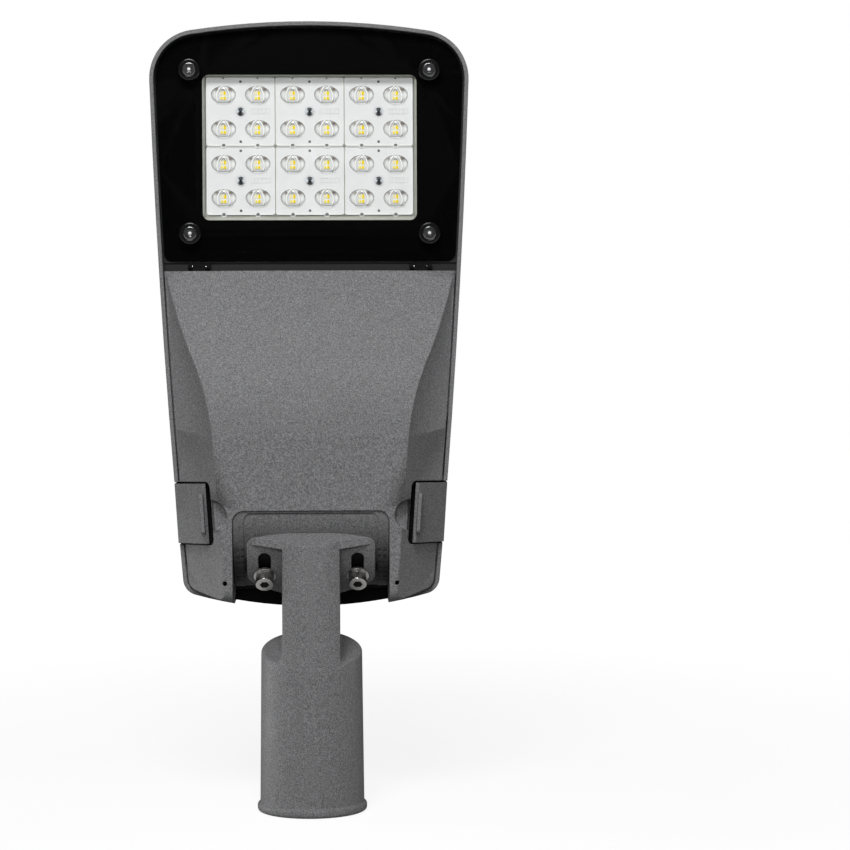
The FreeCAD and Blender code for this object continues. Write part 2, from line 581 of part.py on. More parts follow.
def make_housing():
    """Cast body: light recess above, gear bay below, and the tilt drum with its cheeks."""
    shape = outline_block(0, RIM_Y, BACK_GEAR_Y + 5).common(across(back_profile(), BEYOND))
    middle_z = (HEAD_TOP_Z + HEAD_BOTTOM_Z) / 2

    def on_back_rim(edge):
        off_middle = abs(edge.CenterOfMass.z - middle_z)
        across_back = edge.BoundBox.ZLength < 0.01 and off_middle < (HEAD_TOP_Z - HEAD_BOTTOM_Z) / 3
        return edge.BoundBox.YMin > BACK_TOP_Y - 3 and not across_back

    shape = rounded_at(shape, BACK_ROUNDING, on_back_rim)

    ledge_y = GLASS_FRONT_Y + GLASS_THICKNESS + MASK_THICKNESS + GASKET_THICKNESS
    shape = shape.cut(outline_block(HOUSING_WALL, RIM_Y - 1, ledge_y, RECESS_LOW_Z))
    shape = shape.cut(outline_block(LEDGE_INSET, ledge_y - 1, LED_POCKET_Y, LEDGE_LOW_Z))
    shape = shape.cut(outline_block(HOUSING_WALL, RIM_Y - 1, BAY_LEDGE_Y, -BEYOND, RECESS_LOW_Z))
    bay = outline_block(BAY_INSET, BAY_LEDGE_Y - 1, BAY_FLOOR_Y, -BEYOND, BAY_TOP_Z)
    bay = bay.cut(box(-BEYOND, BEYOND, BAY_STEP_Y, BEYOND, BAY_STEP_Z, BEYOND))
    ledge_half = CUTOUT_HALF_WIDTH + COVER_WALL + 1.5
    ledge_top = CUTOUT_TOP_Z + COVER_WALL + 4
    inner_half = DRUM_HALF_WIDTH - DRUM_CHEEK
    around_drum = box(-ledge_half, ledge_half, BAY_LEDGE_Y - 1, BAY_FLOOR_Y, -BEYOND, ledge_top)
    drum_inside = box(-inner_half, inner_half, BAY_LEDGE_Y + 4, BAY_FLOOR_Y, TILT_Z - 10, ledge_top)
    for side in (-1, 1):
        inner_x, outer_x = sorted((side * LATCH_BLOCK_X, side * BEYOND))
        bay = bay.cut(box(inner_x, outer_x, LATCH_BLOCK_Y, BEYOND,
                          LATCH_LOW_Z - LATCH_BLOCK_MARGIN, LATCH_TOP_Z + LATCH_BLOCK_MARGIN))
    shape = shape.cut(bay.cut(around_drum).fuse(drum_inside))

    under = x_rod(UNDER_DRUM_RADIUS, TILT_Y, TILT_Z, CUTOUT_HALF_WIDTH)
    below_top = box(-BEYOND, BEYOND, -BEYOND, BAY_FLOOR_Y, -BEYOND, DRUM_TOP_Z)
    shape = shape.cut(under.common(below_top))
    drum = x_rod(DRUM_RADIUS, TILT_Y, TILT_Z, DRUM_HALF_WIDTH).fuse(scale_frame())
    drum = drum.common(cutout(-DRUM_SIDE_GAP, BAY_FLOOR_Y))
    shape = shape.fuse(drum)
    hollow_cut = box(-BEYOND, BEYOND, -BEYOND, BAY_FLOOR_Y, -BEYOND, ledge_top)
    hollow = x_rod(DRUM_RADIUS - DRUM_WALL, TILT_Y, TILT_Z, inner_half).common(hollow_cut)
    beam = box(-ledge_half, ledge_half, BAY_LEDGE_Y, BAY_LEDGE_Y + 4, CUTOUT_TOP_Z, ledge_top)
    shape = shape.cut(hollow.cut(beam))

    shape = shape.cut(box(-CUTOUT_HALF_WIDTH, CUTOUT_HALF_WIDTH, RIM_Y - 1, BAY_FLOOR_Y - 1,
                          HEAD_BOTTOM_Z - 5, TILT_Z - DRUM_RADIUS))

    for x in (-BOLT_X, BOLT_X):
        boss = rod(BOLT_BOSS_RADIUS, on_drum(DRUM_RADIUS - 2, BOLT_ANGLE, x),
                   on_drum(DRUM_RADIUS - BOLT_BOSS_DEPTH, BOLT_ANGLE, x))
        hole = rod(M8_RADIUS + THREAD_CLEARANCE, on_drum(DRUM_RADIUS + 5, BOLT_ANGLE, x),
                   on_drum(DRUM_RADIUS - BOLT_BOSS_DEPTH - 1, BOLT_ANGLE, x))
        shape = shape.fuse(boss).cut(hole)
    gland_boss = rod(GLAND_BOSS_RADIUS, on_drum(DRUM_RADIUS - 3, BOLT_ANGLE),
                     on_drum(GLAND_SEAT_RADIUS, BOLT_ANGLE))
    gland_hole = rod(GLAND_HOLE_RADIUS + THREAD_CLEARANCE, on_drum(DRUM_RADIUS + 5, BOLT_ANGLE),
                     on_drum(GLAND_SEAT_RADIUS - 5, BOLT_ANGLE))
    shape = shape.fuse(gland_boss).cut(gland_hole)

    shape = shape.fuse(box(-PAD_HALF_WIDTH, PAD_HALF_WIDTH, PAD_Y, LED_POCKET_Y + 1,
                           LED_CENTRE_Z + PAD_BOTTOM, LED_CENTRE_Z + PAD_TOP))
    for x, z in glass_screw_places():
        mask_back = GLASS_FRONT_Y + GLASS_THICKNESS + MASK_THICKNESS
        shape = shape.fuse(rod(GLASS_POST_RADIUS, V(x, mask_back, z), V(x, LED_POCKET_Y + 1, z)))
        shape = shape.cut(rod(M5_RADIUS + THREAD_CLEARANCE, V(x, mask_back - 1, z),
                              V(x, LED_POCKET_Y - 2, z)))
    for x, z in module_places():
        hole_end = V(x, LED_POCKET_Y - 1, z)
        shape = shape.cut(rod(MODULE_SCREW_RADIUS + THREAD_CLEARANCE, V(x, PAD_Y - 1, z), hole_end))

    lead_x = sum(LED_LEAD_X) / 2
    shape = shape.cut(rod(LEAD_GROMMET_RADIUS, V(lead_x, LED_LEAD_BACK_Y, BAY_TOP_Z - 1),
                          V(lead_x, LED_LEAD_BACK_Y, LEDGE_LOW_Z + 1)))

    for side in (-1, 1):
        shape = shape.fuse(hinge_ears(side))
    recess = outline_block(0, RIM_Y - 5, BACK_GEAR_Y + 1)
    recess = recess.cut(outline_block(LATCH_SHEET + LATCH_GAP, RIM_Y - 6, BACK_GEAR_Y + 2))
    recess = recess.common(box(0, BEYOND, -BEYOND, BEYOND, LATCH_LOW_Z - LATCH_GAP, LATCH_TOP_Z + LATCH_GAP))
    barrel_room = tapered(rod(LATCH_NOTCH_RADIUS, V(*LATCH_PIVOT, LATCH_LOW_Z - LATCH_GAP),
                              V(*LATCH_PIVOT, LATCH_TOP_Z + LATCH_GAP)))
    pin_hole = tapered(latch_pin_rod(THREAD_CLEARANCE))
    for cutter in (recess, barrel_room, pin_hole):
        shape = shape.cut(cutter).cut(mirrored(cutter))
    return shape.removeSplitter()


def scale_frame():
    """Raised band on the drum: one scale strip on each side, joined above the flange."""
    band = x_rod(DRUM_RADIUS + SCALE_RISE, TILT_Y, TILT_Z, DRUM_HALF_WIDTH)
    band = band.cut(x_rod(DRUM_RADIUS, TILT_Y, TILT_Z, BEYOND))
    far = 3 * DRUM_RADIUS
    corners = [V(-BEYOND, TILT_Y, TILT_Z)]
    for angle in (-SCALE_LOW_ANGLE, 0.0, SCALE_LOW_ANGLE):
        place = on_drum(far, angle)
        corners.append(V(-BEYOND, place.y, place.z))
    band = band.common(polygon(corners).extrude(V(2 * BEYOND, 0, 0)))
    field = box(-SCALE_INNER_X, SCALE_INNER_X, -BEYOND, BEYOND, HEAD_BOTTOM_Z, SCALE_TOP_Z)

    def top_corner(edge):
        return edge.BoundBox.YLength > BEYOND and abs(edge.CenterOfMass.z - SCALE_TOP_Z) < 0.1

    return band.cut(rounded_at(field, SCALE_CORNER, top_corner))


def glass_screw_places():
    """Centres of the four screws that hold the glass."""
    return [(side * GLASS_SCREW_X, z) for side in (-1, 1) for z in GLASS_SCREW_HEIGHTS]


def module_places():
    """Centres of the six lens modules."""
    return [(column * MODULE_PITCH, LED_CENTRE_Z + row * MODULE_PITCH)
            for row in MODULE_ROWS for column in MODULE_COLUMNS]


def led_places(module):
    """Centres of the four LEDs in one module."""
    half = LED_PITCH / 2
    return [(module[0] + x, module[1] + z) for z in (half, -half) for x in (-half, half)]


def hinge_ears(side):
    """Two ears on the housing that hold one cover hinge pin."""
    ears = []
    ledge_y = GLASS_FRONT_Y + GLASS_THICKNESS + MASK_THICKNESS + GASKET_THICKNESS
    for way in (-1, 1):
        inner = HINGE_KNUCKLE_LENGTH / 2 + HINGE_SIDE_GAP
        start = side * HINGE_X + way * inner
        end = start + way * HINGE_EAR_THICKNESS
        low_x, high_x = min(start, end), max(start, end)
        barrel = rod(HINGE_KNUCKLE_RADIUS, V(low_x, COVER_HINGE_Y, COVER_HINGE_Z),
                     V(high_x, COVER_HINGE_Y, COVER_HINGE_Z))
        foot = box(low_x, high_x, COVER_HINGE_Y, ledge_y + 1,
                   COVER_HINGE_Z - HINGE_KNUCKLE_RADIUS, COVER_HINGE_Z + HINGE_KNUCKLE_RADIUS)
        ears.append(barrel.fuse(foot))
    pair = ears[0].fuse(ears[1])
    return pair.cut(hinge_pin(side, THREAD_CLEARANCE))


def hinge_pin(side, clearance):
    """Pin on which the cover turns, through both ears and the knuckle."""
    half = HINGE_KNUCKLE_LENGTH / 2 + HINGE_SIDE_GAP + HINGE_EAR_THICKNESS
    return rod(HINGE_PIN_RADIUS + clearance, V(side * HINGE_X - half, COVER_HINGE_Y, COVER_HINGE_Z),
               V(side * HINGE_X + half, COVER_HINGE_Y, COVER_HINGE_Z))


def make_gear_cover():
    """Cast cover with the tilt cut-out, latch pockets, finger scoops and hinge knuckles."""
    outer = cover_body(0, COVER_EDGE_Y)
    inner = cover_body(COVER_WALL, COVER_EDGE_Y + 1)
    pocket = latch_pocket(LATCH_SHEET + LATCH_GAP, 0)
    deep_pocket = latch_pocket(LATCH_SHEET + LATCH_GAP + COVER_WALL, COVER_WALL)
    hollow = scoop(SCOOP_RADIUS, SCOOP_FLOOR_Y)
    deep_hollow = scoop(SCOOP_RADIUS + COVER_WALL, SCOOP_FLOOR_Y + COVER_WALL)
    for near, far in ((pocket, deep_pocket), (hollow, deep_hollow)):
        outer = outer.cut(near).cut(mirrored(near))
        inner = inner.cut(far).cut(mirrored(far))
    outer = outer.cut(cutout(0, COVER_EDGE_Y + 5))
    inner = inner.cut(cutout(COVER_WALL, COVER_EDGE_Y + 5))
    shape = outer.cut(inner)
    for side in (-1, 1):
        half = HINGE_KNUCKLE_LENGTH / 2
        low_x = side * HINGE_X - half
        high_x = side * HINGE_X + half
        knuckle = rod(HINGE_KNUCKLE_RADIUS, V(low_x, COVER_HINGE_Y, COVER_HINGE_Z),
                      V(high_x, COVER_HINGE_Y, COVER_HINGE_Z))
        web = box(low_x, high_x, COVER_EDGE_Y - COVER_WALL, BAY_LEDGE_Y - TILT_GAP,
                  COVER_TOP_Z - COVER_WALL, COVER_HINGE_Z)
        shape = shape.fuse(knuckle).fuse(web).cut(hinge_pin(side, THREAD_CLEARANCE))
        hole = rod(COVER_HOLE_RADIUS, V(side * COVER_HOLE_X, COVER_FRONT_Y - 5, COVER_HOLE_Z),
                   V(side * COVER_HOLE_X, COVER_FRONT_Y + 5, COVER_HOLE_Z))
        shape = shape.cut(hole)
    return shape.removeSplitter()


def make_cover_gasket():
    """Flat seal between the cover's edge and the ledge of the gear bay."""
    edge = HOUSING_WALL + COVER_SEAM
    ring = outline_block(edge + 0.2, COVER_EDGE_Y, BAY_LEDGE_Y, -BEYOND, COVER_TOP_Z)
    ring = ring.cut(outline_block(edge + COVER_WALL, COVER_EDGE_Y, BAY_LEDGE_Y, -BEYOND,
                                  COVER_TOP_Z - COVER_WALL))
    tilt_wall = cutout(COVER_WALL, BAY_LEDGE_Y).cut(cutout(0, BAY_LEDGE_Y + 1))
    band = box(-BEYOND, BEYOND, COVER_EDGE_Y, BAY_LEDGE_Y, -BEYOND, BEYOND)
    inside = outline_block(edge + 0.2, COVER_EDGE_Y, BAY_LEDGE_Y)
    ring = ring.fuse(tilt_wall.common(band).common(inside)).cut(cutout(0, BAY_LEDGE_Y + 1))
    for side in (-1, 1):
        half = HINGE_KNUCKLE_LENGTH / 2 + 1
        ring = ring.cut(box(side * HINGE_X - half, side * HINGE_X + half, COVER_EDGE_Y - 1, BAY_LEDGE_Y + 1,
                            COVER_TOP_Z - COVER_WALL - 0.5, COVER_TOP_Z + 1))
    return ring.removeSplitter()


def make_spigot_arm():
    """Cast pole socket with its clamp pad, the hollow arm and the curved tilt flange."""
    tube = Part.makeCone(TUBE_MOUTH_RADIUS, TUBE_TOP_RADIUS, SHOULDER_BACK_Z + 4)
    slope = (SHOULDER_BACK_Z - SHOULDER_FRONT_Z) / (2 * TUBE_TOP_RADIUS)
    reach = 60
    middle_z = (SHOULDER_BACK_Z + SHOULDER_FRONT_Z) / 2
    above = polygon([
        V(-reach, -reach, middle_z - slope * reach),
        V(-reach, reach, middle_z + slope * reach),
        V(-reach, reach, middle_z + BEYOND),
        V(-reach, -reach, middle_z + BEYOND),
    ]).extrude(V(2 * reach, 0, 0))
    tube = tube.cut(above)
    tube = rounded_at(tube, SHOULDER_ROUNDING, lambda edge: edge.BoundBox.ZMin > SOCKET_DEPTH / 2
                      and edge.BoundBox.XLength > SOCKET_RADIUS)
    rim = Part.makeCylinder(RIM_RADIUS, RIM_HEIGHT)
    rim = rounded_at(rim, RIM_ROUNDING, lambda edge: edge.BoundBox.XLength > SOCKET_RADIUS
                     and edge.BoundBox.ZLength < 0.1)

    arm = Part.makeCylinder(TUBE_TOP_RADIUS, TILT_Z - middle_z, V(0, 0, SHOULDER_FRONT_Z - 4))
    arm = arm.common(box(-ARM_HALF_WIDTH, ARM_HALF_WIDTH, -reach, ARM_BACK_Y, 0, BEYOND))
    arm = rounded_at(arm, ARM_ROUNDING, lambda edge: edge.BoundBox.ZLength > ARM_HALF_WIDTH)

    def arm_foot(edge):
        reach_of = edge.BoundBox
        beside_arm = abs(abs(edge.CenterOfMass.x) - ARM_HALF_WIDTH) < 0.1
        on_shoulder = SHOULDER_FRONT_Z < reach_of.ZMin and reach_of.ZMax < SHOULDER_BACK_Z
        return beside_arm and on_shoulder and reach_of.XLength < 0.01 and reach_of.YLength > ARM_BACK_Y

    neck = rounded_at(tube.fuse(arm).removeSplitter(), ARM_FOOT_ROUNDING, arm_foot)

    flange = x_rod(FLANGE_RADIUS, TILT_Y, TILT_Z, FLANGE_HALF_WIDTH)
    low_end = on_drum(2 * FLANGE_RADIUS, FLANGE_LOW_ANGLE)
    top_end = on_drum(2 * FLANGE_RADIUS, FLANGE_TOP_ANGLE)
    front_end = on_drum(3 * FLANGE_RADIUS, BOLT_ANGLE)
    axis_point = V(0, TILT_Y, TILT_Z)
    sector = across([
        Part.makeLine(axis_point, top_end),
        Part.makeLine(top_end, front_end),
        Part.makeLine(front_end, low_end),
        Part.makeLine(low_end, axis_point),
    ], FLANGE_HALF_WIDTH)
    flange = flange.common(sector)
    ear_left = V(-FLANGE_HALF_WIDTH, 0, EAR_TOP_Z)
    ear_right = V(FLANGE_HALF_WIDTH, 0, EAR_TOP_Z)
    lower_edge = [
        ear_right, V(FLANGE_HALF_WIDTH, 0, EAR_LOW_Z), V(EAR_SLANT_X, 0, EAR_SLANT_Z),
        V(ARM_HALF_WIDTH, 0, EAR_ARM_Z), V(-ARM_HALF_WIDTH, 0, EAR_ARM_Z), V(-EAR_SLANT_X, 0, EAR_SLANT_Z),
        V(-FLANGE_HALF_WIDTH, 0, EAR_LOW_Z), ear_left,
    ]
    ear_edges = [Part.Arc(ear_left, V(0, 0, EAR_TOP_Z + EAR_TOP_RISE), ear_right).toShape()]
    ear_edges += Part.makePolygon(lower_edge).Edges
    ear = Part.Face(Part.Wire(ear_edges)).extrude(V(0, 2 * reach, 0))
    ear.translate(V(0, -reach, 0))

    def ear_corner(edge):
        height = edge.CenterOfMass.z
        at_corner = min(abs(height - EAR_LOW_Z), abs(height - EAR_TOP_Z)) < 0.1
        return edge.BoundBox.YLength > reach and at_corner

    ear = rounded_at(ear, FLANGE_CORNER, ear_corner)

    roof_top = ROOF_FRONT_Z + (TILT_Y + TUBE_TOP_RADIUS) * math.tan(math.radians(ROOF_SLOPE))
    roof_side = polygon([
        V(-FLANGE_HALF_WIDTH, -TUBE_TOP_RADIUS - 1, ROOF_FRONT_Z - math.tan(math.radians(ROOF_SLOPE))),
        V(-FLANGE_HALF_WIDTH, TILT_Y, roof_top),
        V(-FLANGE_HALF_WIDTH, TILT_Y, roof_top - ROOF_THICKNESS),
        V(-FLANGE_HALF_WIDTH, -TUBE_TOP_RADIUS - 1,
          ROOF_FRONT_Z - ROOF_THICKNESS - math.tan(math.radians(ROOF_SLOPE))),
    ]).extrude(V(2 * FLANGE_HALF_WIDTH, 0, 0))
    front_corner_y = -math.sqrt(TUBE_TOP_RADIUS ** 2 - ARM_HALF_WIDTH ** 2)
    tip = V(FLANGE_HALF_WIDTH, ROOF_TIP_Y, 0)
    front = V(ARM_HALF_WIDTH, front_corner_y, 0)
    plan = Part.Face(Part.Wire([
        Part.makeLine(V(-tip.x, 0, 0), V(-tip.x, tip.y, 0)),
        Part.makeLine(V(-tip.x, tip.y, 0), V(-front.x, front.y, 0)),
        Part.Arc(V(-front.x, front.y, 0), V(0, -TUBE_TOP_RADIUS, 0), front).toShape(),
        Part.makeLine(front, tip),
        Part.makeLine(tip, V(tip.x, 0, 0)),
        Part.makeLine(V(tip.x, 0, 0), V(-tip.x, 0, 0)),
    ])).extrude(V(0, 0, BEYOND))
    roof = roof_side.common(plan).common(ear)
    flange = flange.common(ear)

    over_roof = roof_side.copy()
    over_roof.translate(V(0, 0, ROOF_THICKNESS))
    high = over_roof.fuse(box(-BEYOND, BEYOND, -BEYOND, BEYOND, roof_top - 2, BEYOND))
    for lift in range(1, 6):
        layer = over_roof.copy()
        layer.translate(V(0, 0, lift * ROOF_THICKNESS))
        high = high.fuse(layer)
    neck = neck.cut(high)
    flange = flange.cut(high)
    shape = neck.fuse([rim, flange, roof])

    pad_low = CLAMP_SCREW_HEIGHTS[1]
    pad_high = CLAMP_SCREW_HEIGHTS[0]
    pad = box(-CLAMP_PAD_HALF_WIDTH, CLAMP_PAD_HALF_WIDTH, 0, CLAMP_PAD_FACE_Y, pad_low, pad_high)
    for z in CLAMP_SCREW_HEIGHTS:
        pad = pad.fuse(rod(CLAMP_PAD_HALF_WIDTH, V(0, 0, z), V(0, CLAMP_PAD_FACE_Y, z)))
    shape = shape.fuse(pad)
    shape = shape.cut(Part.makeCylinder(SOCKET_RADIUS, SOCKET_DEPTH))

    duct = Part.makeCylinder(TUBE_TOP_RADIUS - ARM_WALL, BEYOND, V(0, 0, SOCKET_DEPTH - 1))
    duct = duct.common(box(-ARM_DUCT_HALF_WIDTH, ARM_DUCT_HALF_WIDTH, -reach, ARM_BACK_Y - ARM_WALL,
                           0, DUCT_TOP_Z))
    shape = shape.cut(duct)
    shape = shape.cut(x_rod(DRUM_RADIUS + TILT_GAP, TILT_Y, TILT_Z, BEYOND))
    for x in (-BOLT_X, BOLT_X):
        shape = shape.cut(bolt_slot(x))
    for z in CLAMP_SCREW_HEIGHTS:
        shape = shape.cut(rod(M8_RADIUS + THREAD_CLEARANCE, V(0, SOCKET_RADIUS - 5, z),
                              V(0, CLAMP_PAD_FACE_Y + 1, z)))
    return shape.removeSplitter()


def bolt_slot(x):
    """Curved slot in the flange along which a tilt bolt travels."""
    half = SLOT_WIDTH / 2
    reach = FLANGE_RADIUS + 4
    ring = x_rod(reach, TILT_Y, TILT_Z, half)
    ring.translate(V(x, 0, 0))
    inner = x_rod(DRUM_RADIUS - 4, TILT_Y, TILT_Z, SLOT_WIDTH)
    inner.translate(V(x, 0, 0))
    ring = ring.cut(inner)
    far = 2 * FLANGE_RADIUS
    points = [V(x - half, TILT_Y, TILT_Z)]
    for angle in (BOLT_ANGLE - TILT_SWEEP, BOLT_ANGLE, BOLT_ANGLE + TILT_SWEEP):
        place = on_drum(far, angle)
        points.append(V(x - half, place.y, place.z))
    ring = ring.common(polygon(points).extrude(V(SLOT_WIDTH, 0, 0)))
    for angle in (BOLT_ANGLE - TILT_SWEEP, BOLT_ANGLE + TILT_SWEEP):
        ring = ring.fuse(rod(half, on_drum(DRUM_RADIUS - 4, angle, x), on_drum(reach, angle, x)))
    return ring


def socket_screw(seat, tip, radius=M8_RADIUS, head_radius=M8_HEAD_RADIUS, head_height=M8_HEAD_HEIGHT,
                 flats=M8_SOCKET_FLATS):
    """Socket head screw with its head's underside at the seat, pointing at the tip."""
    outward = (seat - tip).normalize()
    top = seat + outward * head_height
    head = rod(head_radius, seat, top)
    head = rounded_at(head, HEAD_EDGE, lambda edge: (edge.CenterOfMass - top).Length < 0.1)
    socket = hexagon_bar(flats, top - outward * (head_height / 2), top + outward)
    return head.fuse(rod(radius, tip, seat + outward * 0.5)).cut(socket).removeSplitter()


def make_tilt_bolts():
    """Two bolts that clamp the flange on the drum."""
    seat_radius = FLANGE_RADIUS + TILT_GAP + M8_WASHER_THICKNESS
    bolts = []
    for x in (-BOLT_X, BOLT_X):
        seat = on_drum(seat_radius, BOLT_ANGLE, x)
        bolts.append(socket_screw(seat, on_drum(DRUM_RADIUS - BOLT_BOSS_DEPTH + 1, BOLT_ANGLE, x)))
    return Part.makeCompound(bolts)


def make_tilt_washers():
    """Flat washers under the tilt bolts' heads."""
    washers = []
    low = FLANGE_RADIUS + TILT_GAP
    for x in (-BOLT_X, BOLT_X):
        washer = rod(M8_WASHER_RADIUS, on_drum(low, BOLT_ANGLE, x),
                     on_drum(low + M8_WASHER_THICKNESS, BOLT_ANGLE, x))
        washers.append(washer.cut(rod(M8_RADIUS + THREAD_CLEARANCE, on_drum(low - 1, BOLT_ANGLE, x),
                                      on_drum(low + 5, BOLT_ANGLE, x))))
    return Part.makeCompound(washers)


def make_clamp_screws():
    """Two screws that hold the socket on the pole."""
    return Part.makeCompound([socket_screw(V(0, CLAMP_HEAD_Y, z), V(0, CLAMP_SCREW_TIP_Y, z))
                              for z in CLAMP_SCREW_HEIGHTS])


def make_clamp_nuts():
    """Lock nuts of the pole clamp screws."""
    nuts = []
    for z in CLAMP_SCREW_HEIGHTS:
        face = V(0, CLAMP_PAD_FACE_Y, z)
        end = V(0, CLAMP_PAD_FACE_Y + CLAMP_NUT_HEIGHT, z)
        nut = hexagon_bar(M8_NUT_FLATS, face, end)
        nuts.append(nut.cut(rod(M8_RADIUS + THREAD_CLEARANCE, face - V(0, 1, 0), end + V(0, 1, 0))))
    return Part.makeCompound(nuts)


def window(margin, y_low, y_high):
    """Rounded window in front of the lenses, widened by a margin."""
    half = WINDOW_HALF_WIDTH + margin
    block = box(-half, half, y_low, y_high,
                LED_CENTRE_Z + WINDOW_BOTTOM - margin, LED_CENTRE_Z + WINDOW_TOP + margin)
    return rounded_at(block, WINDOW_CORNER, lambda edge: edge.BoundBox.YLength > (y_high - y_low) / 2)


def glass_sheet(inset, y_low, y_high):
    """Sheet with the outline of the glass."""
    sheet = outline_block(inset, y_low, y_high, GLASS_LOW_Z + inset - GLASS_INSET)
    low_z = sheet.BoundBox.ZMin

    def low_corner(edge):
        return edge.BoundBox.YLength > (y_high - y_low) / 2 and abs(edge.CenterOfMass.z - low_z) < 0.1

    return rounded_at(sheet, GLASS_LOW_CORNER, low_corner)


def drilled(shape, radius, y_low, y_high):
    """Drill the four holes for the glass screws' grommets."""
    for x, z in glass_screw_places():
        shape = shape.cut(rod(radius, V(x, y_low, z), V(x, y_high, z)))
    return shape


def make_glass_panel():
    """Flat cover glass of the light unit."""
    back = GLASS_FRONT_Y + GLASS_THICKNESS
    sheet = glass_sheet(GLASS_INSET, GLASS_FRONT_Y, back)
    return drilled(sheet, GROMMET_NECK_RADIUS, GLASS_FRONT_Y - 1, back + 1)


def make_mask_frame():
    """Black frame behind the glass, open at the window."""
    front = GLASS_FRONT_Y + GLASS_THICKNESS
    back = front + MASK_THICKNESS
    sheet = glass_sheet(MASK_INSET, front, back).cut(window(0, front - 1, back + 1))
    return drilled(sheet, GROMMET_NECK_RADIUS, front - 1, back + 1)


def make_glass_gasket():
    """Black seal: a ring behind the glass and mask, carried on over the step below the glass."""
    front = GLASS_FRONT_Y + GLASS_THICKNESS + MASK_THICKNESS
    back = front + GASKET_THICKNESS
    ring = outline_block(HOUSING_WALL + 0.2, front, back, GLASS_LOW_Z - 0.3)
    ring = ring.cut(outline_block(LEDGE_INSET - 1, front - 1, back + 1, LEDGE_LOW_Z - 1))
    step = outline_block(HOUSING_WALL + 0.2, back - 1.4, back, RECESS_LOW_Z + 0.3, GLASS_LOW_Z)
    half = HINGE_KNUCKLE_LENGTH / 2 + HINGE_SIDE_GAP + HINGE_EAR_THICKNESS + 0.1
    low = COVER_HINGE_Z - HINGE_KNUCKLE_RADIUS - 1
    high = COVER_HINGE_Z + HINGE_KNUCKLE_RADIUS + 0.1
    for x in (-HINGE_X, HINGE_X):
        step = step.cut(box(x - half, x + half, front, back + 1, low, high))
    edge_seal = outline_block(HOUSING_WALL, GLASS_FRONT_Y + 0.4, back, GLASS_LOW_Z + 8)
    edge_seal = edge_seal.cut(outline_block(GLASS_INSET, GLASS_FRONT_Y - 1, back + 1))
    return ring.fuse([step, edge_seal]).removeSplitter()


def make_grommets():
    """Rubber caps through the glass, one round each glass screw."""
    grommets = []
    end = GLASS_FRONT_Y + GLASS_THICKNESS + MASK_THICKNESS
    for x, z in glass_screw_places():
        cap = rod(GROMMET_CAP_RADIUS, V(x, GLASS_FRONT_Y - GROMMET_PROUD, z), V(x, GLASS_FRONT_Y, z))
        cap = rounded_at(cap, 1.2, lambda edge: edge.CenterOfMass.y < GLASS_FRONT_Y - GROMMET_PROUD + 0.1)
        neck = rod(GROMMET_NECK_RADIUS, V(x, GLASS_FRONT_Y - 1, z), V(x, end, z))
        seat = rod(GLASS_SCREW_HEAD_RADIUS + 0.2, V(x, GLASS_FRONT_Y - GROMMET_PROUD - 1, z),
                   V(x, GLASS_SCREW_SEAT_Y, z))
        bore = rod(M5_RADIUS + THREAD_CLEARANCE, V(x, GLASS_FRONT_Y - 3, z), V(x, end + 1, z))
        grommets.append(cap.fuse(neck).cut(seat).cut(bore).removeSplitter())
    return Part.makeCompound(grommets)


def make_glass_screws():
    """Four screws that hold the glass."""
    return Part.makeCompound([
        socket_screw(V(x, GLASS_SCREW_SEAT_Y, z), V(x, LED_POCKET_Y - 4, z), M5_RADIUS,
                     GLASS_SCREW_HEAD_RADIUS, GLASS_SCREW_HEAD_HEIGHT, 4.0)
        for x, z in glass_screw_places()])


